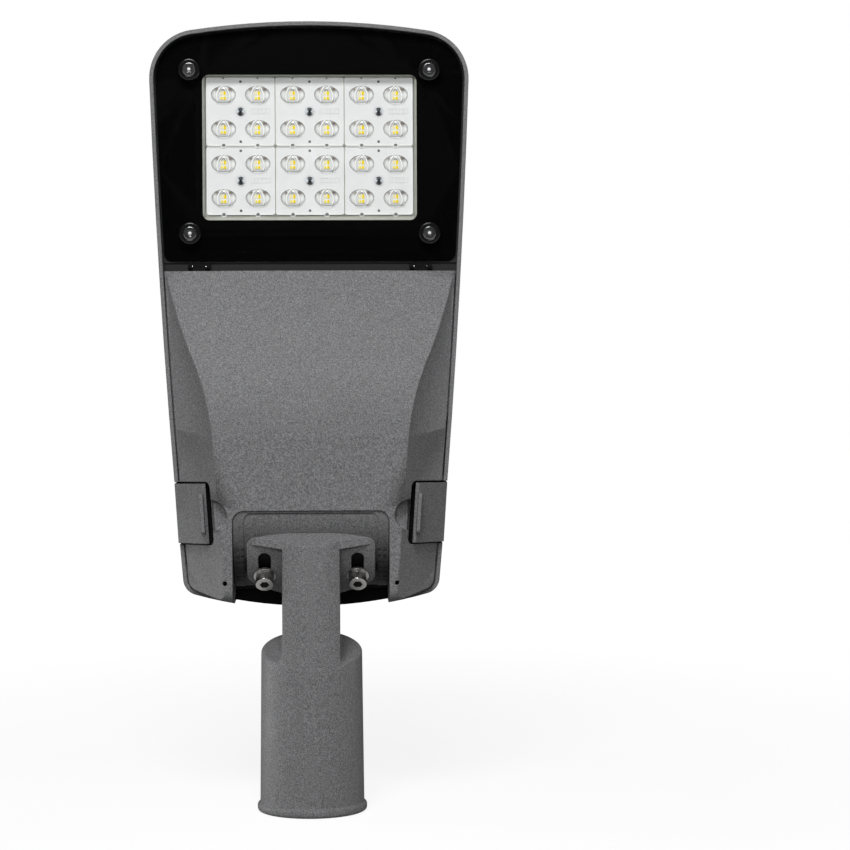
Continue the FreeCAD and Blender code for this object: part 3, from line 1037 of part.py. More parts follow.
def make_module_tray():
    """White tray: a rim behind the mask, sloping walls and thin ribs between the modules."""
    top_y = GLASS_FRONT_Y + GLASS_THICKNESS + MASK_THICKNESS
    floor_y = PAD_Y - BOARD_THICKNESS
    rim = box(-TRAY_FLANGE_HALF_WIDTH, TRAY_FLANGE_HALF_WIDTH, top_y, top_y + TRAY_SHEET,
              LED_CENTRE_Z + TRAY_FLANGE_BOTTOM, LED_CENTRE_Z + TRAY_FLANGE_TOP)

    def funnel(grow, y_top, y_floor):
        mouth_half = WINDOW_HALF_WIDTH - TRAY_MOUTH_MARGIN + grow
        mouth_top = LED_CENTRE_Z + WINDOW_TOP - TRAY_MOUTH_MARGIN + grow
        mouth_bottom = LED_CENTRE_Z + WINDOW_BOTTOM + TRAY_MOUTH_MARGIN - grow
        floor_half = TRAY_FLOOR_HALF_WIDTH + grow
        floor_top = LED_CENTRE_Z + TRAY_FLOOR_HALF_HEIGHT + grow
        floor_bottom = LED_CENTRE_Z - TRAY_FLOOR_HALF_HEIGHT - grow
        mouth = Part.makePolygon([V(-mouth_half, y_top, mouth_bottom), V(mouth_half, y_top, mouth_bottom),
                                  V(mouth_half, y_top, mouth_top), V(-mouth_half, y_top, mouth_top),
                                  V(-mouth_half, y_top, mouth_bottom)])
        floor = Part.makePolygon([V(-floor_half, y_floor, floor_bottom), V(floor_half, y_floor, floor_bottom),
                                  V(floor_half, y_floor, floor_top), V(-floor_half, y_floor, floor_top),
                                  V(-floor_half, y_floor, floor_bottom)])
        return Part.makeLoft([mouth, floor], True, True)

    shape = rim.fuse(funnel(TRAY_SHEET, top_y, floor_y)).cut(funnel(0, top_y, floor_y))
    rib_top = floor_y - LENS_PLATE_THICKNESS - 0.5
    half = TRAY_RIB / 2
    rib_height = TRAY_FLOOR_HALF_HEIGHT + 0.5
    rib_length = TRAY_FLOOR_HALF_WIDTH + 0.5
    for x in (-MODULE_PITCH / 2, MODULE_PITCH / 2):
        shape = shape.fuse(box(x - half, x + half, rib_top, floor_y,
                               LED_CENTRE_Z - rib_height, LED_CENTRE_Z + rib_height))
    across_rib = box(-rib_length, rib_length, rib_top, floor_y, LED_CENTRE_Z - half, LED_CENTRE_Z + half)
    shape = shape.fuse(across_rib)
    for x, z in glass_screw_places():
        shape = shape.cut(rod(GLASS_POST_RADIUS + 0.3, V(x, top_y - 1, z), V(x, floor_y, z)))
    return shape.removeSplitter()


def make_led_board():
    """Circuit board that carries all the LEDs."""
    shape = box(-BOARD_HALF_WIDTH, BOARD_HALF_WIDTH, PAD_Y - BOARD_THICKNESS, PAD_Y,
                LED_CENTRE_Z + PAD_BOTTOM, LED_CENTRE_Z + BOARD_TOP)
    for x, z in module_places():
        shape = shape.cut(rod(MODULE_SCREW_RADIUS + THREAD_CLEARANCE, V(x, PAD_Y - 5, z), V(x, PAD_Y + 1, z)))
    return shape


def make_led_packages():
    """Square LED packages on the board, one under each lens."""
    half = PACKAGE_SIZE / 2
    board_y = PAD_Y - BOARD_THICKNESS
    return Part.makeCompound([
        box(x - half, x + half, board_y - PACKAGE_HEIGHT, board_y, z - half, z + half)
        for module in module_places() for x, z in led_places(module)])


def lens_dome():
    """Oval dome of one lens, long along X, centred on its base."""
    ball = Part.makeSphere(1.0)
    stretch = FreeCAD.Matrix()
    stretch.scale(LENS_LENGTH / 2, LENS_HEIGHT, LENS_WIDTH / 2)
    dome = ball.transformGeometry(stretch)
    return dome.common(box(-LENS_LENGTH, LENS_LENGTH, -LENS_HEIGHT - 1, 0, -LENS_LENGTH, LENS_LENGTH))


def make_lens_module(module):
    """Clear plate with four lens domes, each hollow above its LED."""
    back = PAD_Y - BOARD_THICKNESS
    front = back - LENS_PLATE_THICKNESS
    half = LENS_PLATE_SIZE / 2
    centre_x, centre_z = module
    shape = box(centre_x - half, centre_x + half, front, back, centre_z - half, centre_z + half)
    half = LENS_POCKET / 2
    for x, z in led_places(module):
        dome = lens_dome()
        dome.translate(V(x, front, z))
        pocket = box(x - half, x + half, back - LENS_POCKET_DEPTH, back + 1, z - half, z + half)
        shape = shape.fuse(dome).cut(pocket)
    screw_hole = rod(MODULE_SCREW_RADIUS + THREAD_CLEARANCE, V(centre_x, front - 1, centre_z),
                     V(centre_x, back + 1, centre_z))
    return shape.cut(screw_hole)


def make_module_screws():
    """One screw in the middle of each lens module."""
    screws = []
    seat_y = PAD_Y - BOARD_THICKNESS - LENS_PLATE_THICKNESS
    for x, z in module_places():
        top_y = seat_y - MODULE_SCREW_HEAD_HEIGHT
        head = rod(MODULE_SCREW_HEAD_RADIUS, V(x, seat_y, z), V(x, top_y, z))
        head = rounded_at(head, MODULE_SCREW_HEAD_ROUNDING, lambda edge: edge.CenterOfMass.y < top_y + 0.1)
        screws.append(head.fuse(rod(MODULE_SCREW_RADIUS, V(x, seat_y - 0.5, z), V(x, LED_POCKET_Y - 2, z))))
    return Part.makeCompound(screws)


def latch_pin_rod(clearance):
    """Straight pin of one latch before it is leaned."""
    reach = LATCH_GAP + LATCH_PIN_OVERHANG
    return rod(LATCH_PIN_RADIUS + clearance, V(*LATCH_PIVOT, LATCH_LOW_Z - reach),
               V(*LATCH_PIVOT, LATCH_TOP_Z + reach))


def make_latch():
    """Right-hand side latch: hinge barrel, side plate, sloping front plate and pull tab."""
    along, outward = latch_lines()
    bend = V(*LATCH_BEND, 0)
    tip = V(*LATCH_TIP, 0)
    inner_bend = V(bend.x - LATCH_SHEET, bend.y + LATCH_SHEET * 0.35, 0)
    inner_tip = tip - outward * LATCH_SHEET
    back_y = LATCH_PIVOT[1]
    plan = [V(bend.x, back_y, 0), bend, tip, inner_tip, inner_bend, V(bend.x - LATCH_SHEET, back_y, 0)]
    height = V(0, 0, LATCH_LENGTH)
    plate = polygon([V(p.x, p.y, LATCH_LOW_Z) for p in plan]).extrude(height)

    def outer_bend(edge):
        aside = abs(edge.CenterOfMass.x - bend.x) + abs(edge.CenterOfMass.y - bend.y)
        return edge.BoundBox.ZLength > LATCH_LENGTH / 2 and aside < 0.1

    plate = rounded_at(plate, LATCH_BEND_ROUNDING, outer_bend)
    barrel = rod(LATCH_BARREL_RADIUS, V(*LATCH_PIVOT, LATCH_LOW_Z), V(*LATCH_PIVOT, LATCH_TOP_Z))
    sunk = outward * (LATCH_SHEET / 2)
    root = tip + along * (LATCH_TAB_THICKNESS / along.x)
    side_points = [tip - sunk, tip, V(tip.x, LATCH_TAB_TOP_Y, 0),
                   V(tip.x + LATCH_TAB_THICKNESS, LATCH_TAB_TOP_Y, 0), root, root - sunk]
    tab = polygon([V(p.x, p.y, LATCH_TAB_LOW_Z) for p in side_points])
    tab = tab.extrude(V(0, 0, LATCH_TAB_TOP_Z - LATCH_TAB_LOW_Z))

    def tab_corner(edge):
        return edge.BoundBox.XLength > 1 and abs(edge.CenterOfMass.y - LATCH_TAB_TOP_Y) < 0.1

    tab = rounded_at(tab, LATCH_TAB_CORNER, tab_corner)
    slot_y = LATCH_PIVOT[1] - LATCH_BARREL_RADIUS - LATCH_SLOT_WIDTH - 1
    slot = box(bend.x - 10, bend.x + 5, slot_y, slot_y + LATCH_SLOT_WIDTH, LATCH_TAB_LOW_Z, LATCH_TAB_TOP_Z)
    shape = plate.fuse([barrel, tab]).cut(slot)
    shape = shape.cut(latch_pin_rod(THREAD_CLEARANCE)).removeSplitter()
    return tapered(shape)


def make_driver():
    """LED driver in a flat metal case with two fixing tabs."""
    case = box(-DRIVER_HALF_WIDTH, DRIVER_HALF_WIDTH, DRIVER_FRONT_Y, BAY_STEP_Y, DRIVER_LOW_Z, DRIVER_TOP_Z)
    case = rounded_at(case, DRIVER_ROUNDING, lambda edge: edge.CenterOfMass.y < BAY_STEP_Y - 1)
    reach = DRIVER_HALF_WIDTH + DRIVER_TAB
    middle_z = (DRIVER_LOW_Z + DRIVER_TOP_Z) / 2
    tabs = box(-reach, reach, BAY_STEP_Y - DRIVER_TAB_THICKNESS, BAY_STEP_Y,
               middle_z - DRIVER_TAB_HALF_HEIGHT, middle_z + DRIVER_TAB_HALF_HEIGHT)
    shape = case.fuse(tabs)
    for x in (-reach + DRIVER_TAB / 2, reach - DRIVER_TAB / 2):
        shape = shape.cut(rod(M4_RADIUS + THREAD_CLEARANCE, V(x, BAY_STEP_Y - 5, middle_z),
                              V(x, BAY_STEP_Y + 1, middle_z)))
    return shape


def make_driver_screws():
    """Two pan screws through the driver's tabs."""
    screws = []
    middle_z = (DRIVER_LOW_Z + DRIVER_TOP_Z) / 2
    seat_y = BAY_STEP_Y - DRIVER_TAB_THICKNESS
    for side in (-1, 1):
        x = side * (DRIVER_HALF_WIDTH + DRIVER_TAB / 2)
        head = rod(DRIVER_SCREW_HEAD_RADIUS, V(x, seat_y, middle_z),
                   V(x, seat_y - DRIVER_SCREW_HEAD_HEIGHT, middle_z))
        shank = rod(M4_RADIUS, V(x, seat_y - DRIVER_SCREW_HEAD_HEIGHT / 2, middle_z),
                    V(x, BAY_STEP_Y, middle_z))
        screws.append(head.fuse(shank))
    return Part.makeCompound(screws)


def make_terminal_block():
    """Terminal block for the supply, one way to each mains lead."""
    x_low, x_high, front_y, z_low, z_high = TERMINAL_BLOCK
    shape = box(x_low, x_high, front_y, BAY_FLOOR_Y, z_low, z_high)
    middle_z = (z_low + z_high) / 2
    for x in MAINS_LEAD_X:
        shape = shape.cut(rod(TERMINAL_HOLE_RADIUS, V(x, front_y - 1, middle_z),
                              V(x, front_y + TERMINAL_HOLE_DEPTH, middle_z)))
    return shape


def make_surge_protector():
    """Surge protector block beside the terminals."""
    x_low, x_high, front_y, z_low, z_high = SURGE_BLOCK
    shape = box(x_low, x_high, front_y, BAY_FLOOR_Y, z_low, z_high)
    return rounded_at(shape, SURGE_ROUNDING, lambda edge: edge.BoundBox.YLength > 10)


def make_mains_leads():
    """Short leads from the terminal block up to the driver."""
    block_top = TERMINAL_BLOCK[4]
    leads = [rod(LEAD_RADIUS, V(x, MAINS_LEAD_Y, block_top), V(x, MAINS_LEAD_Y, DRIVER_LOW_Z))
             for x in MAINS_LEAD_X]
    return Part.makeCompound(leads)


def lead_route(x):
    """Path of one LED lead from the driver, through the wall and forward to the board."""
    bend = LED_LEAD_BEND
    back_y, front_y = LED_LEAD_BACK_Y, LED_LEAD_FRONT_Y
    connector_z = LED_CENTRE_Z + PAD_BOTTOM
    turn_z = connector_z - 3 - 2 * bend
    half_turn = bend * math.sin(math.radians(45))
    first = V(x, back_y, turn_z)
    middle = V(x, back_y - bend, turn_z + bend)
    last = V(x, back_y - 2 * bend, turn_z + 2 * bend)
    first_middle = V(x, back_y - bend + half_turn, turn_z + half_turn)
    last_middle = V(x, front_y + bend - half_turn, turn_z + 2 * bend - half_turn)
    return Part.Wire([
        Part.makeLine(V(x, back_y, DRIVER_TOP_Z), first),
        Part.Arc(first, first_middle, middle).toShape(),
        Part.Arc(middle, last_middle, last).toShape(),
        Part.makeLine(last, V(x, front_y, connector_z)),
    ])


def make_led_leads():
    """Two leads from the driver to the LED board."""
    leads = []
    for x in LED_LEAD_X:
        path = lead_route(x)
        section = Part.Wire(Part.makeCircle(LEAD_RADIUS, V(x, LED_LEAD_BACK_Y, DRIVER_TOP_Z), V(0, 0, 1)))
        leads.append(path.makePipeShell([section], True, False))
    return Part.makeCompound(leads)


def make_lead_grommet():
    """Rubber bush where the LED leads pass the wall between the bays."""
    middle_x = sum(LED_LEAD_X) / 2
    shape = rod(LEAD_GROMMET_RADIUS - THREAD_CLEARANCE, V(middle_x, LED_LEAD_BACK_Y, BAY_TOP_Z),
                V(middle_x, LED_LEAD_BACK_Y, LEDGE_LOW_Z))
    for x in LED_LEAD_X:
        shape = shape.cut(rod(LEAD_RADIUS + THREAD_CLEARANCE, V(x, LED_LEAD_BACK_Y, BAY_TOP_Z - 1),
                              V(x, LED_LEAD_BACK_Y, LEDGE_LOW_Z + 1)))
    return shape


def make_led_connector():
    """Connector at the lower edge of the LED board."""
    width, depth, height = CONNECTOR_SIZE
    middle_x = sum(LED_LEAD_X) / 2
    board_y = PAD_Y - BOARD_THICKNESS
    low_z = LED_CENTRE_Z + PAD_BOTTOM
    return box(middle_x - width / 2, middle_x + width / 2, board_y - depth, board_y, low_z, low_z + height)


def make_cable_gland():
    """Cable gland in the drum's wall, through which the supply cable enters the gear bay."""
    thread = rod(GLAND_HOLE_RADIUS, on_drum(DRUM_RADIUS - 1, BOLT_ANGLE),
                 on_drum(GLAND_SEAT_RADIUS, BOLT_ANGLE))
    nut_end = GLAND_SEAT_RADIUS - GLAND_NUT_HEIGHT
    dome_end = nut_end - GLAND_DOME_HEIGHT
    nut = hexagon_bar(GLAND_NUT_FLATS, on_drum(GLAND_SEAT_RADIUS, BOLT_ANGLE), on_drum(nut_end, BOLT_ANGLE))
    dome = rod(GLAND_DOME_RADIUS, on_drum(nut_end, BOLT_ANGLE), on_drum(dome_end, BOLT_ANGLE))
    passage = rod(GLAND_CABLE_RADIUS, on_drum(DRUM_RADIUS + 1, BOLT_ANGLE), on_drum(dome_end - 1, BOLT_ANGLE))
    return thread.fuse([nut, dome]).cut(passage).removeSplitter()


latch_right = make_latch()
pin_right = tapered(latch_pin_rod(0.0))

pieces = {
    "spigot_arm": make_spigot_arm(),
    "clamp_screws": make_clamp_screws(),
    "clamp_nuts": make_clamp_nuts(),
    "housing": make_housing(),
    "tilt_bolts": make_tilt_bolts(),
    "tilt_washers": make_tilt_washers(),
    "glass_panel": make_glass_panel(),
    "mask_frame": make_mask_frame(),
    "glass_gasket": make_glass_gasket(),
    "glass_grommets": make_grommets(),
    "glass_screws": make_glass_screws(),
    "module_tray": make_module_tray(),
    "led_board": make_led_board(),
    "led_packages": make_led_packages(),
    "module_screws": make_module_screws(),
    "led_connector": make_led_connector(),
    "led_leads": make_led_leads(),
    "lead_grommet": make_lead_grommet(),
    "gear_cover": make_gear_cover(),
    "cover_gasket": make_cover_gasket(),
    "cover_hinge_pins": Part.makeCompound([hinge_pin(-1, 0.0), hinge_pin(1, 0.0)]),
    "latch_right": latch_right,
    "latch_left": mirrored(latch_right),
    "latch_pins": both_sides(pin_right),
    "led_driver": make_driver(),
    "driver_screws": make_driver_screws(),
    "terminal_block": make_terminal_block(),
    "surge_protector": make_surge_protector(),
    "mains_leads": make_mains_leads(),
    "cable_gland": make_cable_gland(),
}

for number, module in enumerate(module_places(), start=1):
    pieces["lens_module_" + str(number)] = make_lens_module(module)

for name, shape in pieces.items():
    save(shape, name)
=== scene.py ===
"""LED street light head: finishes, fine details, stage and camera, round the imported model."""

import math

import bmesh
import bpy
from bpy.props import FloatProperty, FloatVectorProperty, PointerProperty
from mathutils import Matrix, Vector


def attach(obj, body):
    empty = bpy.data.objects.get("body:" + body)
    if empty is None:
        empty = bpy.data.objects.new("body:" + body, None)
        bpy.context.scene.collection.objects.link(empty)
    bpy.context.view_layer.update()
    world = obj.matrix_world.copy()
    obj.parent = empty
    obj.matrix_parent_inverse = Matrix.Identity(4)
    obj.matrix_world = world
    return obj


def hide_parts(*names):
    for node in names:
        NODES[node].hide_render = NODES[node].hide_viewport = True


bl_info = {
    "name": "LED street light head",
    "version": (1, 0, 0),
    "blender": (4, 5, 0),
    "location": "3D View > Sidebar > Street Light",
    "description": "Finishes and details of an LED street light head on its packed model",
    "category": "Object",
}

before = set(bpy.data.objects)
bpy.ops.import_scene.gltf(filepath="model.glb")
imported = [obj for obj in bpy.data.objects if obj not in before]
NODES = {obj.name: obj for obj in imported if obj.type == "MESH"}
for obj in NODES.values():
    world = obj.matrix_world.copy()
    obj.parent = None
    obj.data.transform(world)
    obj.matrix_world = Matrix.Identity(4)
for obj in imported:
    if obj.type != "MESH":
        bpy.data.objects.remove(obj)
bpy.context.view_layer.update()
MM = 0.001
IMAGE_SIZE = 850


# Sizes and colours that a user may change


def length(name, description, amount):
    """Length with its default in mm."""
    return FloatProperty(name=name, description=description, default=amount * MM, unit="LENGTH")


def angle(name, description, degrees):
    """Angle with its default in degrees."""
    return FloatProperty(name=name, description=description, default=math.radians(degrees), subtype="ANGLE")


def power(name, description, watts):
    """Power of a lamp."""
    return FloatProperty(name=name, description=description, default=watts, unit="POWER")


def share(name, description, amount):
    """Amount between 0 and 1."""
    return FloatProperty(name=name, description=description, default=amount, min=0.0, max=1.0)


class LampFinish(bpy.types.PropertyGroup):
    """Colours and grain of the coated castings."""

    coat_colour: FloatVectorProperty(
        name="Coat colour", description="Mean colour of the powder coat", subtype="COLOR", size=3,
        default=(0.172, 0.172, 0.176), min=0.0, max=1.0)
    coat_contrast: share("Coat contrast", "How far single grains leave the mean colour", 0.45)
    coat_roughness: share("Coat roughness", "Roughness of the powder coat", 0.56)
    grain: length("Grain", "Size of one grain of the powder coat", 0.9)
    crease: length("Crease", "Radius that softens the creases of the castings", 1.2)


class LampOptics(bpy.types.PropertyGroup):
    """Places and sizes in the light unit."""

    centre_height: length("Centre height", "Height of the middle of the light unit", 478.0)
    module_pitch: length("Module pitch", "Distance between lens modules", 50.0)
    module_size: length("Module size", "Width and height of a lens module", 49.5)
    lens_pitch: length("Lens pitch", "Distance between the lenses of a module", 24.7)
    lens_length: length("Lens length", "Long side of a lens", 18.0)
    lens_width: length("Lens width", "Short side of a lens", 12.7)
    lens_height: length("Lens height", "Rise of a lens above its plate", 4.6)
    plate_front: length("Plate front", "Depth at which the front of the lens plates lies", 31.5)
    plate_back: length("Plate back", "Depth at which the back of the lens plates lies", 33.5)


class LampScale(bpy.types.PropertyGroup):
    """Places and sizes of the tilt scale and of the slots on the drum."""

    axis_depth: length("Axis depth", "Depth of the tilt axis", 30.5)
    axis_height: length("Axis height", "Height of the tilt axis", 210.0)
    frame_radius: length("Scale radius", "Radius of the strips that carry the scale", 52.0)
    drum_radius: length("Drum radius", "Radius of the drum behind the slots", 51.0)
    zero_angle: angle("Zero mark", "Angle of the zero mark below the horizontal", 42.3)
    mark_pitch: angle("Mark pitch", "Angle between two marks", 6.0)
    digit_height: length("Digit height", "Height of the numbers", 2.9)
    bolt_angle: angle("Bolt angle", "Angle of the tilt bolts below the horizontal", 44.0)
    socket_width: length("Socket width", "Width of a bolt's hexagon socket over its flats", 5.0)
    slot_offset: length("Slot offset", "Distance of a slot from the middle", 33.0)
    slot_width: length("Slot width", "Width of the dark strip behind a slot", 8.6)


class LampStage(bpy.types.PropertyGroup):
    """Lamps, backdrop and camera."""

    camera_place: FloatVectorProperty(
        name="Camera place", description="Where the camera stands", subtype="XYZ", size=3, unit="LENGTH",
        default=(0.0170, -1.8008, 0.3320))
    camera_forward: FloatVectorProperty(
        name="Camera direction", description="Where the camera looks", subtype="XYZ", size=3,
        default=(0.0360, 0.9989, -0.0310))
    focal_pixels: FloatProperty(
        name="Focal length in pixels", description="Focal length on an image of the stated width",
        default=2514.07)
    camera_roll: FloatProperty(
        name="Camera roll", description="How far the camera is turned about its own axis", default=-0.0034)
    key_power: power("Key lamp", "Power of the soft lamp above the camera", 21.5)
    front_power: power("Front lamp", "Power of the soft lamp beside the camera", 19.0)
    edge_power: power("Edge lamps", "Power of the low lamp at the left", 0.10)
    world_level: FloatProperty(
        name="World level", description="Strength of the even light from all round", default=0.07, min=0.0)
    floor_colour: share("Floor colour", "Grey of the floor as the light finds it", 0.16)
    white_near: FloatProperty(
        name="White near", description="White that the camera sees on the floor at the lamp", default=0.88)


# Node and mesh helpers


def set_inputs(tree, node, inputs):
    """Link a node's inputs to sockets or set them to values. Returns the node."""
    for key, source in inputs.items():
        if isinstance(source, bpy.types.NodeSocket):
            tree.links.new(source, node.inputs[key])
        else:
            node.inputs[key].default_value = source
    return node


def add_node(tree, kind, inputs, operation=None):
    """New node with its inputs linked or set."""
    node = tree.nodes.new(kind)
    if operation is not None:
        node.operation = operation
    return set_inputs(tree, node, inputs)


def blank_material(name):
    """Material with an empty node tree. Returns both."""
    material = bpy.data.materials.new(name)
    material.use_nodes = True
    material.node_tree.nodes.clear()
    return material, material.node_tree


def new_finish(name):
    """Material with a Principled shader. Returns the material, its tree and the shader."""
    material, tree = blank_material(name)
    shader = tree.nodes.new("ShaderNodeBsdfPrincipled")
    add_node(tree, "ShaderNodeOutputMaterial", {"Surface": shader.outputs["BSDF"]})
    return material, tree, shader


def noise(tree, size, detail=2.0, roughness=0.5):
    """Noise on object coordinates with features of about the given size in metres."""
    place = tree.nodes.new("ShaderNodeTexCoord")
    texture = add_node(tree, "ShaderNodeTexNoise", {
        "Vector": place.outputs["Object"], "Scale": 1.0 / size, "Detail": detail, "Roughness": roughness})
    return texture.outputs["Fac"]


def spread(tree, value, low, high, from_low=0.3, from_high=0.7):
    """Map a noise value on to a range."""
    return add_node(tree, "ShaderNodeMapRange", {
        "Value": value, "From Min": from_low, "From Max": from_high, "To Min": low, "To Max": high,
    }).outputs["Result"]


def ramp(tree, value, stops):
    """Colour ramp with the given stops of (place, colour)."""
    node = add_node(tree, "ShaderNodeValToRGB", {"Fac": value})
    elements = node.color_ramp.elements
    while len(elements) < len(stops):
        elements.new(0.5)
    for element, (place, colour) in zip(elements, stops):
        element.position = place
        element.color = (*colour, 1.0)
    return node.outputs["Color"]


def bump(tree, height, depth, normal):
    """Bump of the given depth in metres, at half strength, on top of another normal."""
    return add_node(tree, "ShaderNodeBump", {
        "Height": height, "Distance": depth, "Strength": 0.5, "Normal": normal}).outputs["Normal"]


def softened(tree, radius):
    """Normal that rounds the edges by a radius in metres."""
    node = add_node(tree, "ShaderNodeBevel", {"Radius": radius})
    node.samples = 8
    return node.outputs["Normal"]


def scaled(colour, factor):
    """A colour made lighter or darker."""
    return tuple(min(1.0, channel * factor) for channel in colour)


def add_object(name, mesh):
    """Link a new object that sits at the origin."""
    piece = bpy.data.objects.new(name, mesh)
    bpy.context.scene.collection.objects.link(piece)
    return piece


def mesh_from(name, builder):
    """Mesh of a bmesh, with its normals turned outwards."""
    bmesh.ops.recalc_face_normals(builder, faces=builder.faces)
    mesh = bpy.data.meshes.new(name)
    builder.to_mesh(mesh)
    builder.free()
    return mesh


def finish_piece(piece, body, material=None):
    """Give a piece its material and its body."""
    if material is not None:
        piece.data.materials.clear()
        piece.data.materials.append(material)
    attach(piece, body)
    return piece


def add_piece(name, builder, body, material):
    """New piece from a bmesh, with its material and body."""
    return finish_piece(add_object(name, mesh_from(name, builder)), body, material)


def paint(node, material):
    """Give a CAD node a material and nothing else."""
    mesh = NODES[node].data
    mesh.materials.clear()
    mesh.materials.append(material)


def inside(place, box):
    """Is a place in metres inside a box in mm? The box's first pair counts on both sides of the middle."""
    amounts = (abs(place.x) / MM, place.y / MM, place.z / MM)
    return all(low <= amount <= high for amount, (low, high) in zip(amounts, box))


def in_latch_pocket(face):
    """Does a face belong to a latch's pocket: a wall, an end, or the floor under the sloped side?

    The numbers are in mm, and under_side is how far the face lies outside the cover's sloped side.
    """
    across = abs(face.center.x) / MM
    depth = face.center.y / MM
    level = face.center.z / MM
    under_side = (across - 97.1) * 0.803 - (depth - 15.0) * 0.596
    wall = face.normal.y > 0.4
    end = abs(face.normal.z) > 0.3 and not 193.0 < level < 232.5
    floor = under_side < -2.0 and across > 71.5 and level > 191.5
    return 63.0 < across < 104.0 and 186.0 < level < 239.3 and (wall or end or floor)


def welded(node, name, body, material, sharp=14.0, painted_shades=()):
    """Merged copy of a CAD node with smooth curved faces, shown in its place.

    Each painted shade is a material that paints shade on faces, and either a box that holds the whole face or
    a test of the face.
    """
    builder = bmesh.new()
    builder.from_mesh(NODES[node].data)
    bmesh.ops.remove_doubles(builder, verts=builder.verts, dist=0.002 * MM)
    mesh = bpy.data.meshes.new(name)
    builder.to_mesh(mesh)
    builder.free()
    mesh.shade_smooth()
    mesh.set_sharp_from_angle(angle=math.radians(sharp))
    piece = add_object(name, mesh)
    finish_piece(piece, body, material)
    for number, (painted_shade, region) in enumerate(painted_shades, start=1):
        mesh.materials.append(painted_shade)
        for face in mesh.polygons:
            if callable(region):
                shaded = region(face)
            else:
                shaded = all(inside(mesh.vertices[index].co, region) for index in face.vertices)
            if shaded:
                face.material_index = number
    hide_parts(node)
    return piece


def skin(builder, rings, tip=None):
    """Closed skin over rings of points. A tip closes the first ring with a fan, else a flat face does."""
    count = len(rings[0])
    steps = [(here, (here + 1) % count) for here in range(count)]
    if tip is None:
        builder.faces.new(rings[0])
    else:
        for here, after in steps:
            builder.faces.new((tip, rings[0][here], rings[0][after]))
    for lower, upper in zip(rings, rings[1:]):
        for here, after in steps:
            builder.faces.new((lower[here], lower[after], upper[after], upper[here]))
    builder.faces.new(rings[-1])


def block(builder, lows, highs):
    """Box between two corners in metres."""
    corners = [[(lows, highs)[pick >> axis & 1][axis] for axis in range(3)] for pick in range(8)]
    points = [builder.verts.new(corner) for corner in corners]
    for face in ((0, 1, 3, 2), (4, 5, 7, 6), (0, 1, 5, 4), (2, 3, 7, 6), (0, 2, 6, 4), (1, 3, 7, 5)):
        builder.faces.new([points[index] for index in face])


def slab(builder, outline, front, back):
    """Upright slab: an outline of (across, up) in mm, between two depths in metres."""
    near = [builder.verts.new((across * MM, front, up * MM)) for across, up in outline]
    far = [builder.verts.new((across * MM, back, up * MM)) for across, up in outline]
    builder.faces.new(near)
    builder.faces.new(list(reversed(far)))
    for here in range(len(outline)):
        after = (here + 1) % len(outline)
        builder.faces.new((near[here], far[here], far[after], near[after]))


def circle(radius, count, across=0.0, up=0.0):
    """Outline of a round shape in mm."""
    return [
        (across + radius * math.cos(math.tau * step / count), up + radius * math.sin(math.tau * step / count))
        for step in range(count)
    ]


def rounded(half_across, half_up, corner, steps=4):
    """Outline of a rectangle with round corners, in mm."""
    points = []
    for number, (side, level) in enumerate(((1, 1), (-1, 1), (-1, -1), (1, -1))):
        for step in range(steps + 1):
            turn = math.radians(90 * (number + step / steps))
            points.append((side * (half_across - corner) + corner * math.cos(turn),
                           level * (half_up - corner) + corner * math.sin(turn)))
    return points


def frame_slab(builder, outer, inner, front, back):
    """Slab with a hole: two outlines with the same number of points."""
    rings = [
        [builder.verts.new((across * MM, depth, up * MM)) for across, up in outline]
        for outline, depth in ((outer, front), (outer, back), (inner, back), (inner, front))
    ]
    for first, second in zip(rings, rings[1:] + rings[:1]):
        for here in range(len(first)):
            after = (here + 1) % len(first)
            builder.faces.new((first[here], first[after], second[after], second[here]))


def ribbon(builder, path, width, front, back):
    """Flat bar of even width along a smooth path of (across, up) points in mm."""
    smooth = []
    ends = [path[0], *path, path[-1]]
    for before, first, second, after in zip(ends, ends[1:], ends[2:], ends[3:]):
        for share in (0.0, 0.25, 0.5, 0.75):
            smooth.append([
                first[axis] + share * 0.5 * (second[axis] - before[axis] + share * (
                    2 * before[axis] - 5 * first[axis] + 4 * second[axis] - after[axis] + share * (
                        3 * first[axis] - before[axis] - 3 * second[axis] + after[axis])))
                for axis in (0, 1)])
    smooth.append(path[-1])
    left = []
    right = []
    for here, point in enumerate(smooth):
        ahead = smooth[min(here + 1, len(smooth) - 1)]
        behind = smooth[max(here - 1, 0)]
        run = Vector((ahead[0] - behind[0], ahead[1] - behind[1])).normalized()
        taper = 0.5 * width * min(1.0, 0.35 + 0.3 * min(here, len(smooth) - 1 - here))
        left.append((point[0] - run.y * taper, point[1] + run.x * taper))
        right.append((point[0] + run.y * taper, point[1] - run.x * taper))
    slab(builder, left + right[::-1], front, back)


def baked(name, tree, values):
    """Plain mesh object from a node tree. Values are set on the modifier by the sockets' identifiers."""
    carrier = bpy.data.objects.new(name + "_carrier", bpy.data.meshes.new(name + "_carrier"))
    modifier = carrier.modifiers.new("repeat", "NODES")
    modifier.node_group = tree
    for socket in tree.interface.items_tree:
        if socket.in_out == "INPUT" and socket.name in values:
            modifier[socket.identifier] = values[socket.name]
    bpy.context.scene.collection.objects.link(carrier)
    graph = bpy.context.evaluated_depsgraph_get()
    mesh = bpy.data.meshes.new_from_object(carrier.evaluated_get(graph), depsgraph=graph)
    mesh.name = name
    carrier.modifiers.remove(modifier)
    bpy.data.objects.remove(carrier)
    if not mesh.polygons:
        raise RuntimeError("the node tree of " + name + " gave no faces")
    return add_object(name, mesh)


def hidden_prototype(name, mesh):
    """Object that a node tree copies. It is removed when the copies are plain meshes."""
    return add_object(name + "_prototype", mesh)


